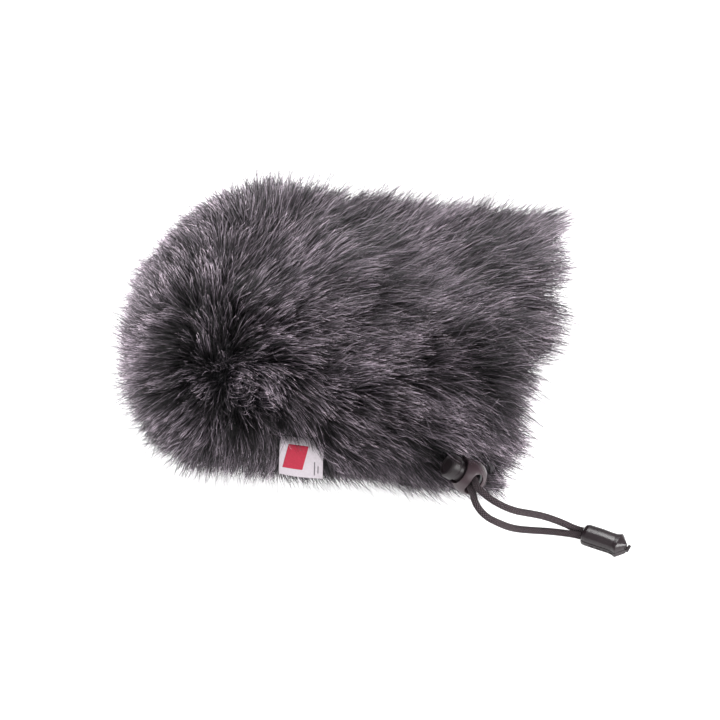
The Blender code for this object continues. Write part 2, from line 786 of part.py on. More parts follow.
# ---- assembly -----------------------------------------------------------------------
def build_bag():
    make_end_cap()
    upper = make_panel("fur_panel_upper", 1)
    lower = make_panel("fur_panel_lower", -1)
    pockets = make_pockets()
    cut(upper, *pockets)
    cut(lower, *pockets)
    seam_tape("seam_tape_front", -1)
    seam_tape("seam_tape_back", 1)
    cap_tape()
    side_thread("seam_thread_front", -1)
    side_thread("seam_thread_back", 1)
    cap_thread()
    make_casing()
    hem_thread()
    bartack("bartack_upper", 1)
    bartack("bartack_lower", -1)
    make_label()
    label_stitch()


def build_drawcord():
    make_held_cord()
    make_tail("drawcord_tail_upper", 1, UPPER_TAIL)
    make_tail("drawcord_tail_lower", -1, LOWER_TAIL)
    make_barrel()
    make_plunger()
    make_spring()
    make_cord_end_base()
    cord_end_shell("cord_end_lid", 1)
    make_hinge_pin()
    make_knot()


for leftover in list(bpy.data.objects):
    bpy.data.objects.remove(leftover, do_unlink=True)

MATERIALS = {name: make_material(name) for name in LOOKS}
PLUNGER_AXIS = (PLUNGER_HINT - CORD_AXIS * PLUNGER_HINT.dot(CORD_AXIS)).normalized()
PAIR_AXIS = PLUNGER_AXIS.cross(CORD_AXIS)

build_bag()
build_drawcord()
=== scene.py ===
"""Looks of the furry windscreen: pile, label, cord lock, braided cord and studio."""

import json
import math
from collections import namedtuple

import bpy
import numpy as np
from mathutils import Matrix, Vector, kdtree

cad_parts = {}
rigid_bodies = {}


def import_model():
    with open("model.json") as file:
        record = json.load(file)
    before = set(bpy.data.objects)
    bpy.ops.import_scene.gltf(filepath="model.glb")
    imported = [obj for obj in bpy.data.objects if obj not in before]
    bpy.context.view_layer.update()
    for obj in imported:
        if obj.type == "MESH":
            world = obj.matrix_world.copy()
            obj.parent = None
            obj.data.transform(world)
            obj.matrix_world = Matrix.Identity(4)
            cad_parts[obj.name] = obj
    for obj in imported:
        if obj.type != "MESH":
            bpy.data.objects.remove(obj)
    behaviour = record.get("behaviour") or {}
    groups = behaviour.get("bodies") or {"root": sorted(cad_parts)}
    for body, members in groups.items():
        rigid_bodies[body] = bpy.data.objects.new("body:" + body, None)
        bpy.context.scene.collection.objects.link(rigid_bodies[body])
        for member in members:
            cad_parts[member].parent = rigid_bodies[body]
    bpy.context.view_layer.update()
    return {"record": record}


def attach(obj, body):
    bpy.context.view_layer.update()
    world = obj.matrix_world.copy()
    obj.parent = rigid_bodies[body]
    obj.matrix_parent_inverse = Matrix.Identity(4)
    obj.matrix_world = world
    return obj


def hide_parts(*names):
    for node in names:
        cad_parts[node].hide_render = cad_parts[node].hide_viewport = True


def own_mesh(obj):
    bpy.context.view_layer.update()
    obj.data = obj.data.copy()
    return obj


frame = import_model()

MM = 0.001

# ---- the bag's shape: the CAD's, with a slightly rounder dome ----
SEAM_Z = 42 * MM
FABRIC = 1.5 * MM              # thickness of the knitted backing
HALF_WIDTH = 55 * MM + FABRIC  # outer face of the backing
TOP = 74 * MM + FABRIC
BOTTOM = 7 * MM - FABRIC
DOME_TIP = -78 * MM - FABRIC
CAP_SEAM_X = -50 * MM
MOUTH_X = 76 * MM
SECTION_POWER = 2.4
DOME_POWER = 2.0

# ---- the cord and what is on it ----
CORD = 3 * MM
CORD_SPREAD = 1.65 * MM
LOCK_CENTRE = Vector((69.5, -67.0, 42.0)) * MM
CORD_AXIS = Vector((0.384, -0.879, 0.283)).normalized()
PLUNGER_HINT = Vector((-0.763, -0.129, 0.634))
PLUNGER_AXIS = (PLUNGER_HINT - CORD_AXIS * PLUNGER_HINT.dot(CORD_AXIS)).normalized()
PAIR_AXIS = PLUNGER_AXIS.cross(CORD_AXIS)
CORD_END_ENTRY = Vector((117.5, -56.6, 0.0)) * MM
CORD_END_HEADING = math.radians(-14)
CORD_END_SPLIT = 3.1 * MM

# ---- camera ----
VIEW_AZIMUTH = math.radians(10)
VIEW_ELEVATION = math.radians(48)
FIELD = 310 * MM               # width of the view at the object
LENS = 1000.0
LOOK_AT = Vector((7.6, 16.3, 13.2)) * MM
TO_CAMERA = Vector((
    math.sin(VIEW_AZIMUTH) * math.cos(VIEW_ELEVATION),
    -math.cos(VIEW_AZIMUTH) * math.cos(VIEW_ELEVATION),
    math.sin(VIEW_ELEVATION),
))
CAMERA_UP = TO_CAMERA.cross(Vector((math.cos(VIEW_AZIMUTH), math.sin(VIEW_AZIMUTH), 0.0)))


# ---- small helpers ----
def link(obj):
    bpy.context.collection.objects.link(obj)
    return obj


def mesh_object(name, verts, faces, material):
    mesh = bpy.data.meshes.new(name)
    mesh.from_pydata([tuple(v) for v in verts], [], faces)
    mesh.validate()
    mesh.shade_smooth()
    mesh.materials.append(material)
    return link(bpy.data.objects.new(name, mesh))


def grid_faces(rows, columns, closed):
    """Quads between neighbouring rows of points, each row joined into a ring when closed."""
    faces = []
    for i in range(rows - 1):
        for j in range(columns if closed else columns - 1):
            k = (j + 1) % columns
            faces.append([i * columns + j, i * columns + k, (i + 1) * columns + k, (i + 1) * columns + j])
    return faces


def tube_faces(rows, columns):
    """The quads of a tube, and a face to close each end."""
    faces = grid_faces(rows, columns, True)
    faces.append(list(range(columns))[::-1])
    faces.append(list(range((rows - 1) * columns, rows * columns)))
    return faces


def apply_modifiers(obj):
    """Replaces the object's mesh with what its modifiers make of it."""
    bpy.context.view_layer.update()
    graph = bpy.context.evaluated_depsgraph_get()
    mesh = bpy.data.meshes.new_from_object(obj.evaluated_get(graph), depsgraph=graph)
    obj.modifiers.clear()
    obj.data = mesh


def thicken(obj, thickness, offset):
    solid = obj.modifiers.new("thickness", "SOLIDIFY")
    solid.thickness = thickness
    solid.offset = offset
    apply_modifiers(obj)


def place_piece(piece, body, node=None):
    """Puts a piece on its body, and hides the CAD node that it stands for."""
    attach(piece, body)
    if node is not None:
        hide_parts(node)


def signed_power(value, power):
    return np.sign(value) * np.abs(value) ** power


def unit(vectors):
    return vectors / np.maximum(np.linalg.norm(vectors, axis=-1, keepdims=True), 1e-12)


def axes_matrix(x_axis, y_axis, z_axis, origin):
    rotation = Matrix((x_axis, y_axis, z_axis)).transposed()
    return Matrix.Translation(origin) @ rotation.to_4x4()


# ---- node helpers ----
def new_material(name, roughness=0.5, specular=0.5):
    material = bpy.data.materials.new(name)
    material.use_nodes = True
    shader = material.node_tree.nodes["Principled BSDF"]
    shader.inputs["Roughness"].default_value = roughness
    shader.inputs["Specular IOR Level"].default_value = specular
    return material, material.node_tree, shader


def add_node(tree, kind, inputs=(), **settings):
    node = tree.nodes.new(kind)
    for key, value in settings.items():
        setattr(node, key, value)
    for key, value in dict(inputs).items():
        node.inputs[key].default_value = value
    return node


def ramp(tree, source, stops):
    node = tree.nodes.new("ShaderNodeValToRGB")
    while len(node.color_ramp.elements) < len(stops):
        node.color_ramp.elements.new(0.5)
    for element, (place, colour) in zip(node.color_ramp.elements, stops):
        element.position = place
        element.color = (*colour, 1.0)
    tree.links.new(source, node.inputs[0])
    return node.outputs["Color"]


def two_tone(tree, shader, source, dark, light, start=0.3):
    """A base colour between two tones, which meet evenly about the middle of the source."""
    colour = ramp(tree, source, [(start, dark), (1 - start, light)])
    tree.links.new(colour, shader.inputs["Base Color"])


def bump(tree, shader, height, strength, distance):
    node = add_node(tree, "ShaderNodeBump", {"Strength": strength, "Distance": distance})
    tree.links.new(height, node.inputs["Height"])
    tree.links.new(node.outputs["Normal"], shader.inputs["Normal"])


def object_noise(tree, scale, detail=4.0):
    place = tree.nodes.new("ShaderNodeTexCoord")
    noise = add_node(tree, "ShaderNodeTexNoise", {"Scale": scale, "Detail": detail, "Roughness": 0.6})
    tree.links.new(place.outputs["Object"], noise.inputs["Vector"])
    return noise.outputs["Fac"]


def baked_uv(tree):
    """The UV map that a material reads, whole and split into its two values."""
    uv = add_node(tree, "ShaderNodeUVMap", uv_map="OFBake")
    split = tree.nodes.new("ShaderNodeSeparateXYZ")
    tree.links.new(uv.outputs["UV"], split.inputs[0])
    return uv, split


# ---- camera ----
def make_camera():
    data = bpy.data.cameras.new("camera")
    data.lens = LENS
    data.sensor_width = 36.0
    data.clip_start = 1.0
    data.clip_end = 20.0
    camera = link(bpy.data.objects.new("camera", data))
    distance = FIELD * LENS / data.sensor_width
    camera.location = LOOK_AT + TO_CAMERA * distance
    camera.rotation_mode = "QUATERNION"
    camera.rotation_quaternion = (-TO_CAMERA).to_track_quat("-Z", "Y")
    bpy.context.scene.camera = camera


# ---- materials ----
def fur_material():
    """Pile colour from the strand's own UV: U is the strand's tone, V runs from root to tip and paints shade
    low in the pile and light at its tips.
    """
    material, tree, shader = new_material("fur_pile", 0.5, 0.35)
    uv, split = baked_uv(tree)
    # painted shade and light along a strand: near black at the root, where the pile shades itself, pale at
    # the tip, where light shines through it
    along = ramp(tree, split.outputs["Y"], [
        (0.0, (0.002, 0.0017, 0.002)),
        (0.36, (0.006, 0.005, 0.006)),
        (0.62, (0.036, 0.0305, 0.036)),
        (0.86, (0.098, 0.083, 0.096)),
        (1.0, (0.50, 0.43, 0.485)),
    ])
    stretch = add_node(tree, "ShaderNodeVectorMath", {1: (700.0, 3.2, 1.0)}, operation="MULTIPLY")
    tree.links.new(uv.outputs["UV"], stretch.inputs[0])
    streak = add_node(tree, "ShaderNodeTexNoise", {"Scale": 1.0, "Detail": 1.0}, noise_dimensions="2D")
    tree.links.new(stretch.outputs["Vector"], streak.inputs["Vector"])
    half = add_node(tree, "ShaderNodeMath", {1: 0.5}, operation="MULTIPLY_ADD")
    tree.links.new(split.outputs["X"], half.inputs[0])
    tree.links.new(streak.outputs["Fac"], half.inputs[2])
    # the strand's tone from U and a streak noise along it: partly its own random tone, partly the painted
    # light and shade carried in U, and the brightest strands paint in glints on the fibres
    tone = ramp(tree, half.outputs["Value"], [
        (0.57, (0.012, 0.012, 0.012)),
        (0.74, (0.46, 0.45, 0.46)),
        (0.89, (2.1, 2.06, 2.1)),
        (1.0, (4.8, 4.7, 4.8)),
    ])
    mix = add_node(tree, "ShaderNodeMix", {"Factor": 1.0}, data_type="RGBA", blend_type="MULTIPLY")
    tree.links.new(along, mix.inputs["A"])
    tree.links.new(tone, mix.inputs["B"])
    tree.links.new(mix.outputs["Result"], shader.inputs["Base Color"])
    return material


def knit_material():
    """Black warp-knit backing."""
    material, tree, shader = new_material("knit_backing", 0.9, 0.2)
    place = tree.nodes.new("ShaderNodeTexCoord")
    wave = add_node(tree, "ShaderNodeTexWave", {"Scale": 260.0, "Distortion": 1.5, "Detail": 2.0})
    tree.links.new(place.outputs["Object"], wave.inputs["Vector"])
    two_tone(tree, shader, wave.outputs["Fac"], (0.006, 0.006, 0.007), (0.028, 0.027, 0.03), 0.0)
    bump(tree, shader, wave.outputs["Fac"], 0.6, 0.0004)
    return material


def woven_material(name, dark, light, roughness=0.85, specular=0.25, scale=900.0, detail=4.0,
                   bumps=(0.5, 0.0002)):
    """Cloth, thread or label: two close tones in a fine noise, and bumps that follow it."""
    material, tree, shader = new_material(name, roughness, specular)
    noise = object_noise(tree, scale, detail)
    two_tone(tree, shader, noise, dark, light)
    if bumps:
        bump(tree, shader, noise, *bumps)
    return material


def plastic_material(name, dark, light, roughness, specular=0.35):
    """Fine-textured moulded plastic, or plain metal."""
    material, tree, shader = new_material(name, roughness, specular)
    two_tone(tree, shader, object_noise(tree, 160.0, 3.0), dark, light, 0.35)
    bump(tree, shader, object_noise(tree, 2200.0, 2.0), 0.12, 0.0001)
    return material


def cord_material():
    """Braided polyester: V of the UV map holds the height of the braid, which the colour follows with
    painted shade in its gaps.
    """
    material, tree, shader = new_material("braid", 0.8, 0.05)
    _, split = baked_uv(tree)
    # painted shade: near black down in the braid's gaps, lighter up on its crowns
    colour = ramp(tree, split.outputs["Y"], [
        (0.0, (0.0005, 0.0005, 0.0005)),
        (0.5, (0.006, 0.0045, 0.005)),
        (1.0, (0.150, 0.120, 0.131)),
    ])
    tree.links.new(colour, shader.inputs["Base Color"])
    return material


# ---- cords ----
UPPER_TAIL = [
    (78.9, -80.7, 47.2), (83.3, -82.6, 45.9), (87.5, -82.1, 42.8), (91.3, -79.4, 38.2),
    (94.6, -74.9, 32.6), (97.6, -69.6, 26.3), (100.4, -64.5, 20.1), (103.2, -60.3, 14.5),
    (106.2, -57.2, 9.8), (109.4, -55.4, 6.3), (112.5, -54.8, 4.1), (115.5, -54.8, 3.1),
]
LOWER_TAIL = [
    (74.8, -82.3, 43.6), (77.5, -85.1, 41.8), (80.8, -85.8, 38.9), (83.8, -84.0, 34.8),
    (85.8, -80.4, 29.5), (87.4, -75.8, 23.3), (89.3, -71.0, 17.2), (92.3, -66.4, 11.8),
    (96.6, -62.6, 7.8), (101.9, -59.8, 5.2), (107.8, -58.3, 3.8), (113.2, -57.9, 3.3),
]


def lengths_along(points):
    """How far along a path each of its points is."""
    return np.concatenate([[0.0], np.cumsum(np.linalg.norm(np.diff(points, axis=0), axis=1))])


def smooth_route(route, spacing):
    """Points read at even spacing from a Catmull-Rom curve through the route's points."""
    padded = [2 * route[0] - route[1], *route, 2 * route[-1] - route[-2]]
    fine = []
    for p0, p1, p2, p3 in zip(padded, padded[1:], padded[2:], padded[3:]):
        for step in range(16):
            t = step / 16
            fine.append(0.5 * (2 * p1 + (p2 - p0) * t + (2 * p0 - 5 * p1 + 4 * p2 - p3) * t ** 2
                               + (3 * p1 - p0 - 3 * p2 + p3) * t ** 3))
    fine.append(route[-1])
    points = np.array([tuple(p) for p in fine])
    lengths = lengths_along(points)
    count = max(2, round(lengths[-1] / spacing))
    places = np.linspace(0.0, lengths[-1], count + 1)
    return np.stack([np.interp(places, lengths, points[:, k]) for k in range(3)], axis=1)


def cord_end_matrix():
    along = Vector((math.cos(CORD_END_HEADING), math.sin(CORD_END_HEADING), 0.0))
    up = Vector((0, 0, 1))
    return axes_matrix(along, up.cross(along), up, CORD_END_ENTRY)


def tail_route(side, route):
    """A strand's route: straight through the lock, along its tail and into the cord end."""
    aside = side * CORD_SPREAD * PAIR_AXIS
    points = [LOCK_CENTRE + along * MM * CORD_AXIS + aside for along in (-12, -6, 0, 6, 9, 11.5)]
    points += [Vector(p) * MM for p in route]
    into = cord_end_matrix()
    points += [into @ Vector((a * MM, side * CORD_SPREAD, CORD_END_SPLIT)) for a in (0.4, 2.9)]
    return points


def normals_along(path):
    """Two directions square to a path at each of its points, carried along without twist."""
    tangents = np.gradient(path, axis=0)
    tangents /= np.linalg.norm(tangents, axis=1, keepdims=True)
    normals = np.zeros_like(path)
    normal = np.cross(tangents[0], [0.0, 0.0, 1.0])
    for i, tangent in enumerate(tangents):
        normal = normal - tangent * normal.dot(tangent)
        normal /= np.linalg.norm(normal)
        normals[i] = normal
    return normals, np.cross(tangents, normals)


def braid_height(around, along, carriers=8, pitch=9.5 * MM):
    """Height of an eight-over-eight braid, 0 in the gaps to 1 on the crowns."""
    a = around * carriers + along / pitch * carriers
    b = around * carriers - along / pitch * carriers
    on_top = (np.floor(a) + np.floor(b)) % 2 < 0.5
    across = np.where(on_top, a % 1.0, b % 1.0)
    lengthways = np.where(on_top, b % 1.0, a % 1.0)
    return np.sin(np.pi * across) ** 0.7 * (0.55 + 0.45 * np.sin(np.pi * lengthways))


def tube(name, path, radius, v, material):
    """A closed tube, from its radius and its V at each point of each ring; U runs round it."""
    rows, columns = radius.shape
    around = np.arange(columns) / columns
    turn = 2 * math.pi * around
    normals, sides = normals_along(path)
    ring = np.cos(turn)[None, :, None] * normals[:, None] + np.sin(turn)[None, :, None] * sides[:, None]
    points = (path[:, None] + radius[..., None] * ring).reshape(-1, 3)
    piece = mesh_object(name, points, tube_faces(rows, columns), material)
    layer = piece.data.uv_layers.new(name="OFBake")
    corner = np.zeros(len(piece.data.loops), dtype=np.int32)
    piece.data.loops.foreach_get("vertex_index", corner)
    uvs = np.stack([np.broadcast_to(around, radius.shape), v], axis=-1).reshape(-1, 2)
    layer.data.foreach_set("uv", uvs[corner].astype(np.float32).ravel())
    return piece


def make_cord(name, side, route, material):
    path = smooth_route(tail_route(side, route), 0.22 * MM)
    along = lengths_along(path)
    around = np.arange(40) / 40
    height = braid_height(around[None, :], along[:, None])
    piece = tube(name, path, CORD / 2 * (0.87 + 0.17 * height), 0.02 + 0.96 * height, material)
    centre = path[::4].tolist()
    if (len(path) - 1) % 4:
        centre.append(path[-1].tolist())
    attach(piece, "root")
    return piece


# ---- solids with fine edges ----
def loft(name, rings, matrix, material):
    """A closed solid through rings of points."""
    points = [p for ring in rings for p in ring]
    obj = mesh_object(name, points, tube_faces(len(rings), len(rings[0])), material)
    obj.matrix_world = matrix
    return obj


def turned(name, profile, matrix, material, steps=96):
    """A solid of revolution about Z, from (radius, height) points that run bottom to top outside."""
    least = 0.02 * MM
    turns = [2 * math.pi * k / steps for k in range(steps)]
    rings = []
    for radius, height in profile:
        reach = max(radius, least)
        rings.append([(reach * math.cos(turn), reach * math.sin(turn), height) for turn in turns])
    return loft(name, rings, matrix, material)


def stadium(half, middle, radius, steps=20):
    """Outline of a slot with round ends, along the first axis."""
    outline = []
    for centre, start in ((half, -math.pi / 2), (-half, math.pi / 2)):
        for k in range(steps + 1):
            angle = start + math.pi * k / steps
            outline.append((centre + radius * math.cos(angle), middle + radius * math.sin(angle)))
    return outline


def box_outline(x0, y0, x1, y1):
    return [(x0, y0), (x1, y0), (x1, y1), (x0, y1)]


def prism(name, outline, low, high, matrix, material):
    rings = [[(x, y, z) for x, y in outline] for z in (low, high)]
    return loft(name, rings, matrix, material)


def cut(obj, *cutters):
    for cutter in cutters:
        modifier = obj.modifiers.new("cut", "BOOLEAN")
        modifier.operation = "DIFFERENCE"
        modifier.solver = "EXACT"
        modifier.object = cutter
    apply_modifiers(obj)
    for cutter in cutters:
        bpy.data.objects.remove(cutter, do_unlink=True)


def round_edges(obj, voxel, passes):
    """Moulded edges: an even skin of small faces, relaxed a little."""
    skin = obj.modifiers.new("skin", "REMESH")
    skin.mode = "VOXEL"
    skin.voxel_size = voxel
    relax = obj.modifiers.new("relax", "SMOOTH")
    relax.iterations = passes
    relax.factor = 0.5
    material = obj.data.materials[0]
    apply_modifiers(obj)
    obj.data.materials.clear()
    obj.data.materials.append(material)
    obj.data.shade_smooth()


# ---- cord lock ----
LOCK_RADIUS = 7.75 * MM
LOCK_RIM = 6.2 * MM
LOCK_BORE = 5.5 * MM
LOCK_BORE_FLOOR = -6.0 * MM
STEM_RADIUS = 4.4 * MM
STEM_FOOT = -2.9 * MM
BUTTON_RADIUS = 5.4 * MM
BUTTON_FOOT = 7.7 * MM
BUTTON_TOP = 12.1 * MM
SPRING_RADIUS = 3.1 * MM
SPRING_WIRE = 0.25 * MM        # half the thickness of the wire
SPRING_GAP = 0.3 * MM          # left over the bore's floor and under the stem
SPRING_TURNS = 3
LOCK_MATRIX = axes_matrix(CORD_AXIS, PAIR_AXIS, PLUNGER_AXIS, LOCK_CENTRE)
ACROSS_MATRIX = axes_matrix(PAIR_AXIS, PLUNGER_AXIS, CORD_AXIS, LOCK_CENTRE)


def make_barrel(material):
    """A ball cut off at its rim, with a bore for the plunger and a slot for the two strands."""
    angles = np.linspace(-math.pi / 2, math.asin(LOCK_RIM / LOCK_RADIUS), 49)
    ball = [(LOCK_RADIUS * math.cos(angle), LOCK_RADIUS * math.sin(angle)) for angle in angles]
    ball.append((0.0, LOCK_RIM))
    barrel = turned("lock_barrel", ball, LOCK_MATRIX, material)
    bore = turned("bore", [
        (0.0, LOCK_BORE_FLOOR),
        (LOCK_BORE, LOCK_BORE_FLOOR),
        (LOCK_BORE, LOCK_RIM - 0.3 * MM),
        (LOCK_BORE + 0.5 * MM, LOCK_RIM + 0.2 * MM),
        (0.0, LOCK_RIM + 0.2 * MM),
    ], LOCK_MATRIX, material)
    outline = stadium(2.7 * MM, -0.72 * MM, 2.45 * MM)
    hole = prism("hole", outline, -10 * MM, 10 * MM, ACROSS_MATRIX, material)
    cut(barrel, bore, hole)
    round_edges(barrel, 0.17 * MM, 5)
    place_piece(barrel, "cord_lock", "cord_lock_barrel")
    return barrel


def make_plunger(material):
    """The button with its dished top, and the stem with its slot for the strands."""
    plunger = turned("lock_plunger_button", [
        (0.0, STEM_FOOT),
        (STEM_RADIUS - 0.3 * MM, STEM_FOOT),
        (STEM_RADIUS, STEM_FOOT + 0.3 * MM),
        (STEM_RADIUS, BUTTON_FOOT),
        (BUTTON_RADIUS - 0.4 * MM, BUTTON_FOOT),
        (BUTTON_RADIUS, BUTTON_FOOT + 0.5 * MM),
        (BUTTON_RADIUS, BUTTON_TOP - 1.1 * MM),
        (BUTTON_RADIUS - 0.3 * MM, BUTTON_TOP - 0.4 * MM),
        (BUTTON_RADIUS - 0.9 * MM, BUTTON_TOP),
        (BUTTON_RADIUS - 1.4 * MM, BUTTON_TOP),
        (BUTTON_RADIUS - 1.9 * MM, BUTTON_TOP - 0.4 * MM),
        (0.0, BUTTON_TOP - 0.4 * MM),
    ], LOCK_MATRIX, material)
    outline = box_outline(-3.35 * MM, -1.7 * MM, 3.35 * MM, 3.7 * MM)
    slot = prism("slot", outline, -10 * MM, 10 * MM, ACROSS_MATRIX, material)
    cut(plunger, slot)
    round_edges(plunger, 0.17 * MM, 4)
    place_piece(plunger, "lock_plunger", "cord_lock_plunger")
    return plunger


def make_spring(material):
    """The coil under the plunger, at rest."""
    low = LOCK_BORE_FLOOR + SPRING_GAP + SPRING_WIRE
    high = STEM_FOOT - SPRING_GAP - SPRING_WIRE
    turn = np.linspace(0.0, SPRING_TURNS * 2 * math.pi, 145)
    height = np.linspace(low, high, len(turn))
    path = np.stack([SPRING_RADIUS * np.cos(turn), SPRING_RADIUS * np.sin(turn), height], axis=1)
    share = np.repeat(turn / turn[-1], 12).reshape(-1, 12)
    spring = tube("lock_spring_coil", path, np.full(share.shape, SPRING_WIRE), share, material)
    spring.matrix_world = LOCK_MATRIX
    place_piece(spring, "cord_lock", "cord_lock_spring")
    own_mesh(spring)
    return spring


# ---- cord end ----
CORD_END_STATIONS = [          # along, half width, height above the split, depth below it (mm)
    (0.0, 3.3, 2.9, 2.5),
    (0.7, 4.0, 3.8, 2.8),
    (2.0, 4.25, 4.2, 2.8),
    (8.0, 4.3, 4.3, 2.8),
    (12.5, 4.2, 4.0, 2.8),
    (14.6, 4.4, 3.9, 2.8),
    (16.6, 5.3, 4.1, 2.8),
    (18.6, 2.9, 3.1, 2.7),
    (20.0, 1.1, 2.2, 2.5),
]
PARTING = 0.3 * MM             # gap between the two shells


def cord_end_rings(side, inset, first, last):
    """Half-round sections of one shell; side +1 is the lid, -1 the base."""
    table = np.array(CORD_END_STATIONS)
    squareness = 0.85 if side > 0 else 0.35
    parting = PARTING / MM / 2 if inset == 0 else -1.0
    rings = []
    for along in np.linspace(first, last, 70):
        half = np.interp(along, table[:, 0], table[:, 1]) - inset
        tall = np.interp(along, table[:, 0], table[:, 2 if side > 0 else 3]) - inset
        ring = [(along, -half, side * parting), (along, half, side * parting)]
        for k in range(33):
            angle = math.pi * k / 32
            across = half * signed_power(math.cos(angle), squareness)
            height = 0.5 + (tall - 0.3) * abs(math.sin(angle)) ** squareness
            ring.append((along, across, side * height))
        rings.append([Vector(p) * MM for p in ring])
    return rings


def make_cord_end(material):
    """The two shells that clip shut over the knot."""
    matrix = cord_end_matrix() @ Matrix.Translation((0, 0, CORD_END_SPLIT))
    upright = matrix @ Matrix(((0, 0, 1, 0), (0, 1, 0, 0), (-1, 0, 0, 0), (0, 0, 0, 1)))
    entry_outline = [(y, x) for x, y in stadium(CORD_SPREAD, 0.0, CORD / 2 + PARTING)][::-1]
    shells = []
    halves = (("clip_lid", "cord_end_lid", "end_lid", 1), ("clip_base", "cord_end_base", "root", -1))
    for name, node, body, side in halves:
        shell = loft(name, cord_end_rings(side, 0.0, 0.0, 20.0), matrix, material)
        cutters = [
            loft("hollow", cord_end_rings(side, 1.1, 2.0, 14.6), matrix, material),
            prism("entry", entry_outline, -1 * MM, 4 * MM, upright, material),
        ]
        if side < 0:
            for k in range(4):
                along = (4.6 + 3.1 * k) * MM
                outline = box_outline(along, -6 * MM, along + 1.9 * MM, -3.9 * MM)
                cutters.append(prism("side_slot", outline, 1.3 * MM, 2.2 * MM, cord_end_matrix(), material))
        cut(shell, *cutters)
        round_edges(shell, 0.13 * MM, 3)
        place_piece(shell, body, node)
        shells.append(shell)
    return shells


# ---- label ----
LABEL_X = (-13.5 * MM, 5.5 * MM)
# Y and Z (mm) of the label from the seam to its foot; past the first point it is out of the seam.
LABEL_PATH = [
    (-57.2, 42.2), (-59.4, 42.0), (-61.2, 40.6), (-62.3, 37.6), (-63.0, 33.5), (-63.6, 29.0), (-64.1, 24.6),
]
LABEL_LINE = smooth_route([Vector((0.0, y, z)) * MM for y, z in LABEL_PATH], 0.25 * MM)
LABEL_ROOT_Z = LABEL_PATH[1][1] * MM
LABEL_FOOT_Z = LABEL_PATH[-1][1] * MM


def label_point(across, down, lift):
    """A place on the label: across 0..1 in X, down 0..1 from the seam to the foot, lift off its face."""
    where = down * (len(LABEL_LINE) - 1)
    i = min(int(where), len(LABEL_LINE) - 2)
    step = LABEL_LINE[i + 1] - LABEL_LINE[i]
    point = LABEL_LINE[i] + step * (where - i)
    run = unit(step)
    outward = np.array([0.0, run[2], -run[1]])
    bend = (0.35 * math.sin(3.0 * across + 0.6) - 0.5 * (2 * across - 1) ** 2) * MM * down ** 2
    x = LABEL_X[0] + across * (LABEL_X[1] - LABEL_X[0])
    return np.array([x, 0, 0]) + point * [0, 1, 1] + outward * (lift + bend)


def label_face_y(z):
    """Y of the label's outer face at a height."""
    y, height = np.array(LABEL_PATH[:0:-1]).T * MM
    return np.interp(z, height, y)


def label_patch(name, corners, lift, thickness, steps, material):
    """A patch of the label between four (across, down) corners, given round the patch."""
    columns, rows = steps
    a, b, c, d = np.array(corners, dtype=float)
    verts = []
    for t in np.linspace(0, 1, rows + 1):
        for u in np.linspace(0, 1, columns + 1):
            across, down = (a + (b - a) * u) * (1 - t) + (d + (c - d) * u) * t
            verts.append(label_point(across, down, lift))
    piece = mesh_object(name, verts, grid_faces(rows + 1, columns + 1, False), material)
    thicken(piece, thickness, 0.0)
    place_piece(piece, "root")
    return piece


def make_label(cloth, red, grey):
    """The woven tag, with a plain block and two lines standing in for what is woven on it."""
    tag = label_patch("label_tag", [(0, 0), (1, 0), (1, 1), (0, 1)], 0.0, 0.55 * MM, (60, 64), cloth)
    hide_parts("woven_label")
    corners = [(0.20, 0.20), (0.66, 0.20), (0.54, 0.80), (0.08, 0.80)]
    block = label_patch("label_block", corners, 0.3 * MM, 0.08 * MM, (30, 30), red)
    for k, (start, end) in enumerate(((0.56, 0.92), (0.66, 0.86))):
        left = 0.80 + 0.08 * k
        right = left + 0.025
        corners = [(left, start), (right, start), (right, end), (left, end)]
        label_patch(f"label_line_{k + 1}", corners, 0.3 * MM, 0.06 * MM, (2, 20), grey)


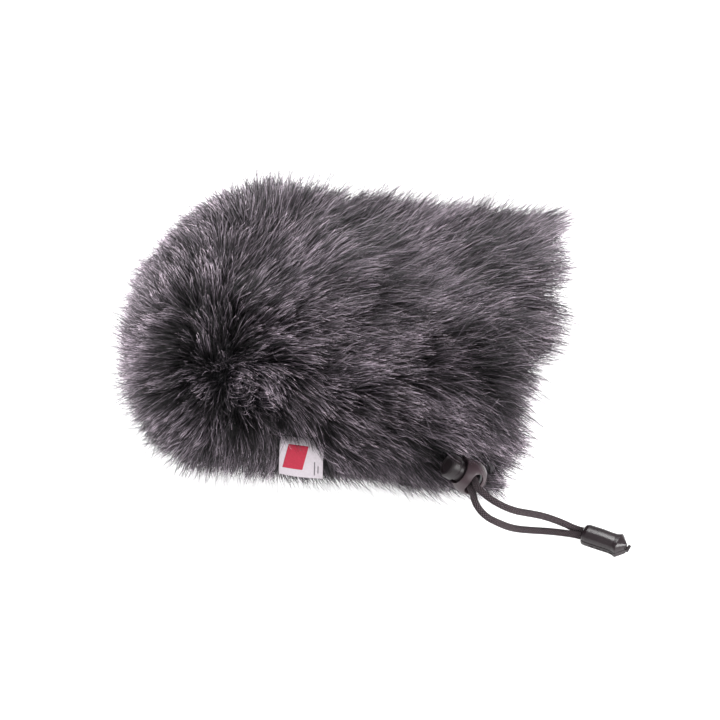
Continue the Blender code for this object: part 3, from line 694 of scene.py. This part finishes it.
# ---- pile ----
# Where the pile lies: x along the bag (mm), degrees round it (0 back seam, 90 top,
# 180 front seam, 270 underside), heading (0 to the mouth, 90 up the front and over
# the back, 180 to the dome's tip), lean at the tip (degrees from upright), length (mm).
LIE = [
    (-26, 58, 50, 64, 27), (5, 66, 42, 74, 26), (30, 60, 36, 74, 25), (56, 60, 28, 74, 25),
    (76, 60, 5, 78, 27), (-30, 83, 45, 66, 26), (-4, 85, 22, 77, 28), (26, 83, 28, 77, 27),
    (56, 82, 26, 77, 27), (76, 83, 14, 80, 40), (-34, 102, 38, 70, 23), (-8, 103, 8, 78, 27),
    (19, 104, 12, 78, 28), (45, 103, 26, 78, 28), (72, 98, 12, 80, 44), (-36, 126, 48, 66, 22),
    (-12, 125, 4, 76, 26), (14, 124, 4, 78, 27), (44, 122, 20, 78, 27), (70, 123, 8, 80, 43),
    (-25, 143, 25, 66, 22), (-1, 145, -8, 75, 25), (25, 143, 0, 77, 26), (52, 144, -12, 76, 26),
    (74, 140, -8, 78, 40), (-6, 163, -50, 72, 21), (14, 166, -20, 80, 18), (40, 167, -25, 80, 20),
    (62, 158, -15, 78, 24), (76, 160, -18, 79, 31), (23, 181, -30, 86, 14), (49, 185, -35, 83, 20),
    (-16, 179, -95, 80, 17), (-25, 180, -100, 78, 17), (-25, 190, -120, 82, 16), (-43, 165, -140, 64, 19),
    (-47, 186, -140, 72, 18), (-63, 172, -130, 62, 18), (-66, 153, -150, 60, 18), (-78, 153, -170, 58, 19),
    (-74, 130, 170, 58, 18), (-80, 110, 175, 58, 15), (-70, 110, 150, 60, 16), (-76, 90, 135, 64, 16),
    (-57, 109, 130, 64, 16), (-65, 87, 120, 68, 17), (-57, 77, 115, 70, 17), (-48, 66, 90, 74, 17),
    (-56, 93, 105, 66, 17), (-50, 85, 85, 70, 18),
    # along the parting: the body's side, then the dome's side
    (-46, 112, 60, 66, 22), (-40, 107, 42, 70, 23), (-41, 126, 45, 66, 21), (-35, 140, 15, 68, 20),
    (-25, 150, -20, 72, 20), (-14, 160, -45, 74, 19), (-58, 100, 120, 64, 17), (-55, 122, 145, 62, 17),
    (-53, 136, 165, 60, 17), (-48, 150, -165, 62, 17), (-38, 161, -130, 68, 17), (-27, 170, -110, 74, 18),
    # the far side and the underside, which follow the same brushing
    (-30, 20, 60, 64, 20), (10, 20, 35, 70, 22), (50, 20, 25, 70, 22), (78, 20, 10, 74, 30),
    (-40, 47, 70, 58, 23), (-30, -25, 40, 66, 19), (10, -25, 25, 70, 20), (50, -25, 15, 70, 20),
    (78, -25, 0, 70, 24), (-68, 60, 128, 86, 10), (-60, 40, 122, 84, 12), (-60, 0, 150, 66, 15),
    (-60, -40, 170, 62, 15), (-76, 30, 160, 72, 14), (-76, -30, 180, 58, 14), (-30, 215, -60, 86, 14),
    (10, 215, -40, 86, 15), (50, 215, -35, 87, 14), (78, 215, 10, 88, 9), (78, 190, -5, 86, 14),
    (-30, 240, -60, 86, 14), (10, 240, -30, 86, 14), (50, 240, -25, 86, 13), (78, 240, 0, 86, 9),
    (64, 200, -20, 86, 13), (66, 215, -10, 88, 10), (-30, 270, 0, 78, 16), (20, 270, 0, 80, 16),
    (70, 270, 0, 78, 16), (-60, 215, -160, 70, 17), (-60, 270, 180, 68, 14), (-76, 225, -175, 60, 17),
    (-76, 270, 180, 60, 13), (78, 110, 6, 80, 45), (-79, 180, -172, 58, 18),
]
# hollows along the parting, where the pile is shorter and painted shade darkens it
HOLLOWS = ((-41, 125, 6.0), (-50, 146, 5.0), (-36, 140, 4.0))   # x, degrees round, reach in mm
LIE_REACH = 9.5 * MM            # how far one row of LIE is felt
ROOT_LIFT = math.radians(46)    # how much steeper the root stands than the tip
SWAY_STEPS = 12                 # steps in which a strand is bent
PILE_LIMIT = np.array([118.0, 82.0, 98.5]) * MM   # no strand reaches past these
HAIRS_IN_PIECE = 6800           # keeps a piece under 200,000 triangles
PILE_SEED = 11
# stations: shares of the length where a strand has a ring; longer: its length to that in LIE;
# spread: how unruly it is; shade: how far up the root-to-tip colour, painted shade to painted light, runs;
# tones: the lowest and their range; clumps: the share of strands that lead one, and how strongly they pull,
# for each size of clump
Kind = namedtuple("Kind", "name count stations longer spread thickness shade tones clumps")
PILE_KINDS = (
    Kind("guard", 60000, (0, 0.2, 0.42, 0.62, 0.82, 1), 0.96, 0.0, 0.35 * MM, 1.0, (0.0, 1.0),
         ((0.20, 0.38), (0.02, 0.32), (0.004, 0.22))),
    Kind("fine", 20000, (0, 0.3, 0.55, 0.8, 1), 1.30, 1.0, 0.18 * MM, 1.0, (0.45, 0.53),
         ((0.30, 0.2), (0.07, 0.2))),
    Kind("under", 15000, (0, 0.45, 1), 0.6, 0.0, 0.5 * MM, 0.5, (0.0, 1.0), ((0.10, 0.3),)),
)
CLUMP_TONES = (0.62, 0.30, 0.20)   # how much of its tone a strand has from each size of clump


def bag_point(v, around):
    """Points on the backing's outer face: v is -1 at the dome's tip, 0 at its seam, 1 at the mouth."""
    power = 2 / DOME_POWER
    turn = np.clip(-v, 0.0, 1.0) * math.pi / 2
    scale = np.where(v < 0, np.cos(turn) ** power, 1.0)
    past = (CAP_SEAM_X - DOME_TIP) * np.sin(turn) ** power
    x = np.where(v < 0, CAP_SEAM_X - past, CAP_SEAM_X + v * (MOUTH_X - CAP_SEAM_X))
    c = signed_power(np.cos(around), 2 / SECTION_POWER)
    s = signed_power(np.sin(around), 2 / SECTION_POWER)
    rise = np.where(s >= 0, TOP - SEAM_Z, SEAM_Z - BOTTOM)
    return np.stack([x, HALF_WIDTH * scale * c, SEAM_Z + rise * scale * s], axis=-1)


def bag_frame(v, around):
    """Point, outward normal, direction to the mouth and direction up the front and over."""
    step = 2e-3
    v = np.clip(v, -1.0 + 2 * step, 1.0)
    point = bag_point(v, around)
    to_mouth = unit(bag_point(v + step, around) - bag_point(v - step, around))
    over = unit(bag_point(v, around - step) - bag_point(v, around + step))
    normal = unit(np.cross(to_mouth, over))
    return point, normal, to_mouth, np.cross(normal, to_mouth)


def lie_vectors():
    """The rows of LIE as points, directions, leans and lengths."""
    rows = np.array(LIE, dtype=float)
    x = rows[:, 0] * MM
    power = 2 / DOME_POWER
    share = np.clip((CAP_SEAM_X - x) / (CAP_SEAM_X - DOME_TIP), 0.0, 0.995)
    dome = -np.arcsin(share ** (1 / power)) / (math.pi / 2)
    v = np.where(x < CAP_SEAM_X, dome, (x - CAP_SEAM_X) / (MOUTH_X - CAP_SEAM_X))
    point, _, to_mouth, over = bag_frame(v, np.radians(rows[:, 1]))
    heading = np.radians(rows[:, 2])[:, None]
    direction = np.cos(heading) * to_mouth + np.sin(heading) * over
    return point, direction, np.radians(rows[:, 3]), rows[:, 4] * MM


def lie_at(points, normals):
    """Direction, lean and length of the pile at points of the backing, and how well its rows agree."""
    place, direction, lean, length = lie_vectors()
    flow = np.zeros_like(points)
    leans = np.zeros(len(points))
    lengths = np.zeros(len(points))
    for start in range(0, len(points), 20000):
        part = slice(start, start + 20000)
        gap = np.linalg.norm(points[part, None] - place[None], axis=2)
        weight = np.exp(-0.5 * (gap / LIE_REACH) ** 2) + 1e-9
        total = weight.sum(axis=1)
        flow[part] = weight @ direction / total[:, None]
        leans[part] = weight @ lean / total
        lengths[part] = weight @ length / total
    agreement = np.linalg.norm(flow, axis=1)
    flow -= normals * (flow * normals).sum(axis=1, keepdims=True)
    agreement = np.clip(agreement, 0, 1)
    return unit(flow), leans * (0.55 + 0.45 * agreement), lengths, agreement


def scatter(count, rng):
    """Even random places on the whole backing."""
    v_edges = np.concatenate([np.linspace(-0.995, 0.0, 60), np.linspace(0.0, 1.0, 120)[1:]])
    a_edges = np.linspace(0.0, 2 * math.pi, 181)
    corners = bag_point(v_edges[:, None] + 0 * a_edges[None], a_edges[None] + 0 * v_edges[:, None])
    along = corners[1:, :-1] - corners[:-1, :-1]
    across = corners[:-1, 1:] - corners[:-1, :-1]
    area = np.linalg.norm(np.cross(along, across), axis=2).ravel()
    cell = rng.choice(len(area), size=count, p=area / area.sum())
    row, column = np.divmod(cell, len(a_edges) - 1)
    v = v_edges[row] + rng.random(count) * (v_edges[row + 1] - v_edges[row])
    around = a_edges[column] + rng.random(count) * (a_edges[column + 1] - a_edges[column])
    return v, around


def nearest(points, centres):
    tree = kdtree.KDTree(len(centres))
    for i, centre in enumerate(centres):
        tree.insert(centre, i)
    tree.balance()
    return np.array([tree.find(p)[1] for p in points])


def noise(points, *layers):
    """A smooth random value at each point, from layers of sine waves (height, reach in mm, seed)."""
    total = np.zeros(len(points))
    for height, reach, seed in layers:
        rng = np.random.default_rng(seed)
        layer = np.zeros(len(points))
        for _ in range(7):
            wave = rng.normal(size=3) / (reach * MM)
            layer += np.sin(points @ wave + rng.random() * 2 * math.pi)
        total += height * (layer / 3.5)
    return total


def ramp_up(value, start, reach):
    """0 up to the start (mm), then rising to 1 over the reach (mm)."""
    return np.clip((value - start * MM) / (reach * MM), 0, 1)


def hollow_and_shade_at(points):
    """1 in the middle of each hollow along the parting, falling to 0 round it: the pile is shorter there,
    and painted shade darkens its tone.
    """
    depth = np.zeros(len(points))
    for x, around, reach in HOLLOWS:
        v = max((x * MM - CAP_SEAM_X) / (MOUTH_X - CAP_SEAM_X), 0.0)
        gap = np.linalg.norm(points - bag_point(v, np.radians(around)), axis=1)
        depth = np.maximum(depth, np.exp(-0.5 * (gap / (reach * MM)) ** 2))
    return depth


def bend_strands(root, normal, flow, side, lean, length, stations, rng):
    """Centrelines that lean further towards their tips, droop a little and sway."""
    count = len(root)
    first = np.maximum(lean - ROOT_LIFT, math.radians(5))
    place = root.copy()
    track = [root - normal * 0.4 * MM]
    droop = np.array([0.0, 0.0, -1.0])
    phase = noise(root, (2.5, 2.5, 12)) + rng.normal(size=count) * 0.8
    turns = 1.1 + 0.5 * rng.random(count)
    wave = (0.25 + 0.4 * rng.random(count)) * MM
    for k in range(SWAY_STEPS):
        t = (k + 0.5) / SWAY_STEPS
        angle = first + (lean - first) * t ** 0.7
        direction = np.cos(angle)[:, None] * normal + np.sin(angle)[:, None] * flow
        direction = unit(direction + 0.22 * t * t * droop)
        place = place + direction * (length / SWAY_STEPS)[:, None]
        end = (k + 1) / SWAY_STEPS
        sway = wave * end * np.sin(2 * math.pi * turns * end + phase)
        track.append(place + sway[:, None] * side)
    track = np.stack(track, axis=1)
    curve = np.zeros((count, len(stations), 3))
    for k, t in enumerate(stations):
        i = min(int(t * SWAY_STEPS), SWAY_STEPS - 1)
        share = t * SWAY_STEPS - i
        curve[:, k] = track[:, i] * (1 - share) + track[:, i + 1] * share
    return curve


def clump(root, curve, kind, rng):
    """Draws strands together in clumps within clumps, and returns a tone that each clump shares."""
    tone = rng.random(kind.count) ** 1.25
    grip = (np.array(kind.stations) ** 1.7)[None, :, None]
    for (cells, pull), share in zip(kind.clumps, CLUMP_TONES):
        heads = rng.choice(kind.count, size=max(8, int(kind.count * cells)), replace=False)
        own = heads[nearest(root, root[heads])]
        tone = (1 - share) * tone + share * tone[own]
        strength = (pull * (0.6 + 0.6 * rng.random(kind.count)))[:, None, None]
        curve += (curve[own] - curve) * np.clip(strength, 0, 0.95) * grip
    return 0.43 + 2.3 * (tone - tone.mean())


def painted_light_at(root):
    """Painted light: how much lighter the pile's tone is made at the mouth, on the dome, at the back and
    beside the lock, where light falls on it and shines through its edges.
    """
    x, y, z = root.T
    painted_light = 0.24 * ramp_up(x, 40, 36) ** 2
    painted_light += 0.62 * ramp_up(-x, 57, 20) * ramp_up(z, 20, 20)
    painted_light += 0.14 * ramp_up(y, 25, 25)
    painted_light += 0.16 * ramp_up(x, 30, 30) * ramp_up(-y, 15, 20)
    return painted_light


def grow(kind, rng):
    """The strands of one kind: their roots, their centrelines and their tones."""
    v, around = scatter(kind.count, rng)
    root, normal, _, _ = bag_frame(v, around)
    flow, lean, length, agreement = lie_at(root, normal)
    wander = noise(root, (0.24, 16, 21), (0.30, 7, 3), (0.26, 2.0, 4))
    wander += rng.normal(size=kind.count) * (0.22 + 0.25 * kind.spread)
    wander += (1 - agreement) * (noise(root, (3.6, 6, 31)) + rng.normal(size=kind.count) * 0.8)
    side = np.cross(normal, flow)
    flow = np.cos(wander)[:, None] * flow + np.sin(wander)[:, None] * side
    lean = lean - 0.16 * kind.spread + noise(root, (0.16, 13, 22), (0.12, 5, 5))
    lean += rng.normal(size=kind.count) * 0.12
    uneven = 1 + noise(root, (0.08, 9, 6)) + rng.normal(size=kind.count) * 0.20
    length = length * kind.longer * (1 - 0.25 * hollow_and_shade_at(root)) * np.clip(uneven, 0.45, 1.4)
    curve = bend_strands(root, normal, flow, side, lean, length, kind.stations, rng)
    tone = clump(root, curve, kind, rng)
    from_root = curve - root[:, None]
    room = (PILE_LIMIT - root) / np.maximum(from_root.max(axis=1), 1e-6)
    curve = root[:, None] + from_root * np.clip(room.min(axis=1), 0.0, 1.0)[:, None, None]
    patchy = noise(root, (0.14, 3, 8), (0.09, 7, 9))
    # painted light at the mouth, the dome, the back and beside the lock, and painted shade in the hollows
    # along the parting, on top of each strand's own tone
    tone = np.clip(tone + painted_light_at(root) + patchy - 0.24 * hollow_and_shade_at(root), 0.02, 0.98)
    return root, curve, kind.tones[0] + kind.tones[1] * tone


def capsule_gap(points, a, b):
    """Distance and foot of each point on the segment a-b."""
    line = b - a
    share = np.clip(((points - a) @ line) / line.dot(line), 0.0, 1.0)
    foot = a + share[..., None] * line
    return np.linalg.norm(points - foot, axis=-1), foot


LOCK_A = np.array(LOCK_CENTRE)
LOCK_B = np.array(LOCK_CENTRE + PLUNGER_AXIS * 12 * MM)
LOCK_SLIDE = np.array(CORD_AXIS)
VIEW_BACK = np.round(TO_CAMERA, 3)
VIEW_UP = np.round(CAMERA_UP, 3)


def clear_lock(root, curve, rng):
    """Bends strands round the cord lock, and says which ones to keep."""
    count = len(root)
    gap, _ = capsule_gap(root, LOCK_A, LOCK_B)
    # nothing grows within 12.5 to 15.5 mm of it on its side of the bag
    beneath = (root[:, 1] < -40 * MM) & (gap < (9.5 + 3.0 * rng.random(count)) * MM + 3 * MM)
    near, foot = capsule_gap(curve, LOCK_A, LOCK_B)
    swell = 8.3 * MM - 1.4 * MM * np.clip(np.linalg.norm(foot - LOCK_A, axis=-1) / (12 * MM), 0, 1)
    nearer = (curve - LOCK_A) @ VIEW_BACK
    flat = curve - LOCK_A - nearer[..., None] * VIEW_BACK
    axis = LOCK_B - LOCK_A - ((LOCK_B - LOCK_A) @ VIEW_BACK) * VIEW_BACK
    beside, _ = capsule_gap(flat, np.zeros(3), axis)
    over = (near < swell + 1.5 * MM) | ((beside < 6.6 * MM) & (flat @ VIEW_UP < 4.5 * MM))
    # all but a few of the strands that would pass in front of it go
    veil = (over & (nearer > 2 * MM)).any(axis=1)
    keep = ~beneath & ~(veil & (rng.random(count) > 0.04))
    push = np.maximum(swell - near, 0.0)[..., None]
    curve = curve + unit(curve - foot) * push
    between = (curve[:, 1:] + curve[:, :-1]) / 2
    for shift in (0.0, 2 * MM, 4 * MM):   # over the lock's travel
        through, _ = capsule_gap(between - LOCK_SLIDE * shift, LOCK_A, LOCK_B)
        keep &= (through > 5.6 * MM).all(axis=1)
    return curve, keep


def clear_cord(curve, keep, path):
    """Drops the kept strands that a cord would touch."""
    low = path.min(axis=0) - 4 * MM
    high = path.max(axis=0) + 4 * MM
    close = ((curve > low) & (curve < high)).all(axis=2).any(axis=1)
    for index in np.flatnonzero(close & keep):
        distance = np.linalg.norm(curve[index][:, None] - path[None], axis=2)
        if distance.min() < 2.0 * MM:
            keep[index] = False


def clear_label(root, curve, rng):
    """Which strands neither cross the label nor hide it, but for a fringe over its top."""
    count = len(root)
    x, y, z = curve[..., 0], curve[..., 1], curve[..., 2]
    over_label = (x > LABEL_X[0] - 0.6 * MM) & (x < LABEL_X[1] + 0.6 * MM)
    over_label &= (z > LABEL_FOOT_Z - 1 * MM) & (z < LABEL_ROOT_Z + 0.5 * MM)
    over_label &= y < label_face_y(z) + 0.8 * MM
    before = (label_face_y(33 * MM) - y) / -VIEW_BACK[1]
    seen_x = x - VIEW_BACK[0] * before
    seen_z = z - VIEW_BACK[2] * before
    fringe = (37.4 * MM + 1.3 * MM * rng.normal(size=count))[:, None]
    hides = (before > 0) & (seen_x > LABEL_X[0] - 0.4 * MM) & (seen_x < LABEL_X[1] + 0.4 * MM)
    hides &= (seen_z > LABEL_FOOT_Z - 1 * MM) & (seen_z < fringe)
    from_above = root[:, 2] > LABEL_ROOT_Z + 0.5 * MM
    lowest = np.where(over_label, z, 1.0).min(axis=1)
    stays_high = lowest >= 38.2 * MM + 1.2 * MM * rng.normal(size=count)
    return ~hides.any(axis=1) & (~over_label.any(axis=1) | (from_above & stays_high))


def make_room(root, curve, tone, rng, cords):
    """Keeps the pile off the cord lock, the cords, the label and the table."""
    curve, keep = clear_lock(root, curve, rng)
    for path in cords:
        clear_cord(curve, keep, path)
    keep &= clear_label(root, curve, rng)
    floor = (0.3 + 1.2 * rng.random((len(root), 1))) * MM
    lift = np.linspace(0.2, 1.0, curve.shape[1])[None]
    curve[..., 2] = np.maximum(curve[..., 2], floor * lift)
    return root[keep], curve[keep], tone[keep]


def strand_faces(rings, sides):
    """Corners and sizes of the faces of one strand: its quads, its point and its root."""
    corners = [corner for face in grid_faces(rings - 1, sides, True) for corner in face]
    sizes = [4] * ((rings - 2) * sides)
    last = (rings - 2) * sides
    for s in range(sides):
        corners += [last + s, last + (s + 1) % sides, sides * (rings - 1)]
        sizes.append(3)
    corners += list(range(sides))[::-1]
    sizes.append(sides)
    return np.array(corners), np.array(sizes)


def strand_mesh(name, curve, tone, kind, material):
    """Tapered three-sided strands as one mesh, closed at the root and pointed at the tip."""
    count, rings, _ = curve.shape
    sides = 3
    tangent = unit(np.gradient(curve, axis=1))
    normal = unit(np.cross(tangent, np.array([0.31, 0.47, 0.83])))
    binormal = np.cross(tangent, normal)
    taper = kind.thickness / 2 * (1 - 0.93 * np.array(kind.stations) ** 2.2)
    build = 0.62 + 0.76 * (tone * 7.31 % 1.0)
    per = sides * (rings - 1) + 1
    verts = np.zeros((count, per, 3))
    for k in range(rings - 1):
        for s in range(sides):
            turn = 2 * math.pi * s / sides
            offset = math.cos(turn) * normal[:, k] + math.sin(turn) * binormal[:, k]
            verts[:, k * sides + s] = curve[:, k] + (taper[k] * build)[:, None] * offset
    verts[:, -1] = curve[:, -1]
    corners, sizes = strand_faces(rings, sides)
    starts = np.concatenate([[0], np.cumsum(sizes)[:-1]])
    all_corners = (corners[None] + per * np.arange(count)[:, None]).ravel()
    all_starts = (starts[None] + len(corners) * np.arange(count)[:, None]).ravel()
    mesh = bpy.data.meshes.new(name)
    mesh.vertices.add(count * per)
    mesh.vertices.foreach_set("co", verts.astype(np.float32).ravel())
    mesh.loops.add(len(all_corners))
    mesh.loops.foreach_set("vertex_index", all_corners.astype(np.int32))
    mesh.polygons.add(len(all_starts))
    mesh.polygons.foreach_set("loop_start", all_starts.astype(np.int32))
    mesh.update(calc_edges=True)
    mesh.shade_smooth()
    mesh.materials.append(material)
    layer = mesh.uv_layers.new(name="OFBake")
    along = np.append(np.repeat(kind.stations[:-1], sides), 1.0)
    u = np.broadcast_to(tone[:, None], (count, per))
    v = np.broadcast_to(0.01 + 0.98 * kind.shade * along[None], (count, per))
    uvs = np.stack([u, v], axis=-1).reshape(-1, 2)[all_corners]
    layer.data.foreach_set("uv", uvs.astype(np.float32).ravel())
    piece = link(bpy.data.objects.new(name, mesh))
    place_piece(piece, "root")
    return piece


def make_pile(material, cords):
    """The pile's pieces, in a list for each of the panels that they grow from."""
    rng = np.random.default_rng(PILE_SEED)
    pieces = {"dome": [], "upper": [], "lower": []}
    for kind in PILE_KINDS:
        root, curve, tone = make_room(*grow(kind, rng), rng, cords)
        on_dome = root[:, 0] < CAP_SEAM_X
        on_top = root[:, 2] >= SEAM_Z
        for zone, chosen in (("dome", on_dome), ("upper", ~on_dome & on_top), ("lower", ~on_dome & ~on_top)):
            index = np.flatnonzero(chosen)
            index = index[np.argsort(root[index, 0])]
            parts = max(1, math.ceil(len(index) / HAIRS_IN_PIECE))
            for k, part in enumerate(np.array_split(index, parts)):
                name = f"pile_{zone}_{kind.name}_{k + 1}"
                pieces[zone].append(strand_mesh(name, curve[part], tone[part], kind, material))
    return pieces


# ---- the knitted backing ----
# where the cords leave the backing: X and Z of two corners
WAY_OUT = ((60.2 * MM, 30 * MM), (72.5 * MM, 49.5 * MM))


def backing(name, v_range, around_range, steps, node, material):
    """One knitted panel, with the way out for the cords left open."""
    rows, columns = steps
    v = np.linspace(*v_range, rows)[:, None]
    around = np.linspace(*around_range, columns)[None, :]
    verts = bag_point(v + 0 * around, around + 0 * v).reshape(-1, 3)
    faces = []
    if v_range[0] < -0.9:
        faces.append(list(range(columns - 1)))
    (low_x, low_z), (high_x, high_z) = WAY_OUT
    for a, b, c, d in grid_faces(rows, columns, False):
        x, y, z = verts[[a, d, c, b]].mean(axis=0)
        if not (low_x < x < high_x and low_z < z < high_z and y < 0):
            faces.append([a, d, c, b])
    piece = mesh_object(name, verts, faces, material)
    thicken(piece, FABRIC, -1.0)
    place_piece(piece, "root", node)


def make_backing(material, pile):
    full = 2 * math.pi
    backing("backing_upper", (0.001, 1.0), (0.0, math.pi), (60, 90), "fur_panel_upper",
            material)
    backing("backing_lower", (0.001, 1.0), (math.pi, full), (60, 90), "fur_panel_lower",
            material)
    backing("backing_end_cap", (-0.985, -0.001), (0.0, full), (40, 160), "fur_end_cap",
            material)


# ---- the studio ----
def make_studio():
    floor_material, _, shader = new_material("studio_floor", 0.9, 0.0)
    shader.inputs["Base Color"].default_value = (0.5, 0.5, 0.5, 1.0)
    shader.inputs["Emission Color"].default_value = (1.0, 1.0, 1.0, 1.0)
    shader.inputs["Emission Strength"].default_value = 1.0
    corners = [(x, y, 0) for x, y in box_outline(-3, -3, 3, 3)]
    floor = mesh_object("floor", corners, [(0, 1, 2, 3)], floor_material)
    world = bpy.data.worlds.new("studio")
    world.use_nodes = True
    background = world.node_tree.nodes["Background"]
    background.inputs["Color"].default_value = (1.0, 1.0, 1.0, 1.0)
    background.inputs["Strength"].default_value = 0.55
    bpy.context.scene.world = world
    aim = Vector((0, 0, 0.04))
    for name, place, size, power in (
        ("key", (-0.10, 0.55, 1.20), 0.6, 15.0),
        ("fill", (0.45, -0.9, 1.0), 0.8, 7.0),
        ("left", (-1.1, 0.35, 0.6), 0.6, 21.0),
        ("right", (1.1, -0.35, 0.55), 0.6, 17.0),
        ("rim", (-0.7, 1.1, 0.5), 0.6, 22.0),
    ):
        data = bpy.data.lights.new(name, "AREA")
        data.size = size
        data.energy = power
        lamp = link(bpy.data.objects.new(name, data))
        lamp.location = place
        lamp.rotation_mode = "QUATERNION"
        lamp.rotation_quaternion = (aim - Vector(place)).to_track_quat("-Z", "Y")
    bpy.context.scene.view_settings.view_transform = "Standard"


# ---- assembly ----
def paint(materials):
    """Gives the CAD nodes the materials of their slots."""
    for row in frame["record"]["subparts"]:
        if row["material_slot"] in materials:
            obj = bpy.data.objects[row["node"]]
            obj.data.materials.clear()
            obj.data.materials.append(materials[row["material_slot"]])


make_camera()
MATERIALS = {
    "binding": woven_material("binding_cloth", (0.005, 0.005, 0.0055), (0.014, 0.0135, 0.0145)),
    "thread": woven_material("sewing_thread", (0.01, 0.01, 0.011), (0.04, 0.04, 0.043), scale=2500.0),
    "label": woven_material("label_satin", (0.42, 0.375, 0.41), (0.52, 0.47, 0.51), 0.55, 0.4, 1500.0, 2.0,
                            (0.25, 0.0001)),
    "cord": woven_material("cord_cloth", (0.008, 0.007, 0.008), (0.04, 0.036, 0.04), scale=1200.0),
    "lock_plastic": plastic_material("lock_plastic", (0.040, 0.026, 0.031), (0.052, 0.034, 0.040), 0.36),
    "spring_wire": plastic_material("spring_wire", (0.5, 0.5, 0.52), (0.6, 0.6, 0.62), 0.25),
    "cord_end_plastic": plastic_material("cord_end_plastic", (0.015, 0.0105, 0.0125), (0.020, 0.014, 0.0165),
                                         0.26, 0.4),
}
braid = cord_material()
plunger_plastic = plastic_material("plunger_plastic", (0.012, 0.0085, 0.0098), (0.017, 0.012, 0.014),
                                   0.42, 0.3)
yarn = (0.6, 0.3, 1800.0, 2.0, None)
label_red = woven_material("label_red", (0.30, 0.008, 0.028), (0.42, 0.015, 0.045), *yarn)
label_grey = woven_material("label_grey", (0.10, 0.09, 0.10), (0.16, 0.15, 0.16), *yarn)
paint(MATERIALS)
lock = [make_barrel(MATERIALS["lock_plastic"]), make_plunger(plunger_plastic)]
lock.append(make_spring(MATERIALS["spring_wire"]))
cord_end = make_cord_end(MATERIALS["cord_end_plastic"])
upper = make_cord("cord_upper", 1, UPPER_TAIL, braid)
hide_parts("drawcord_tail_upper")
lower = make_cord("cord_lower", -1, LOWER_TAIL, braid)
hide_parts("drawcord_tail_lower")
make_label(MATERIALS["label"], label_red, label_grey)
tails = ((1, UPPER_TAIL), (-1, LOWER_TAIL))
cord_paths = [smooth_route(tail_route(side, tail), 1.2 * MM) for side, tail in tails]
make_backing(knit_material(), make_pile(fur_material(), cord_paths))
make_studio()
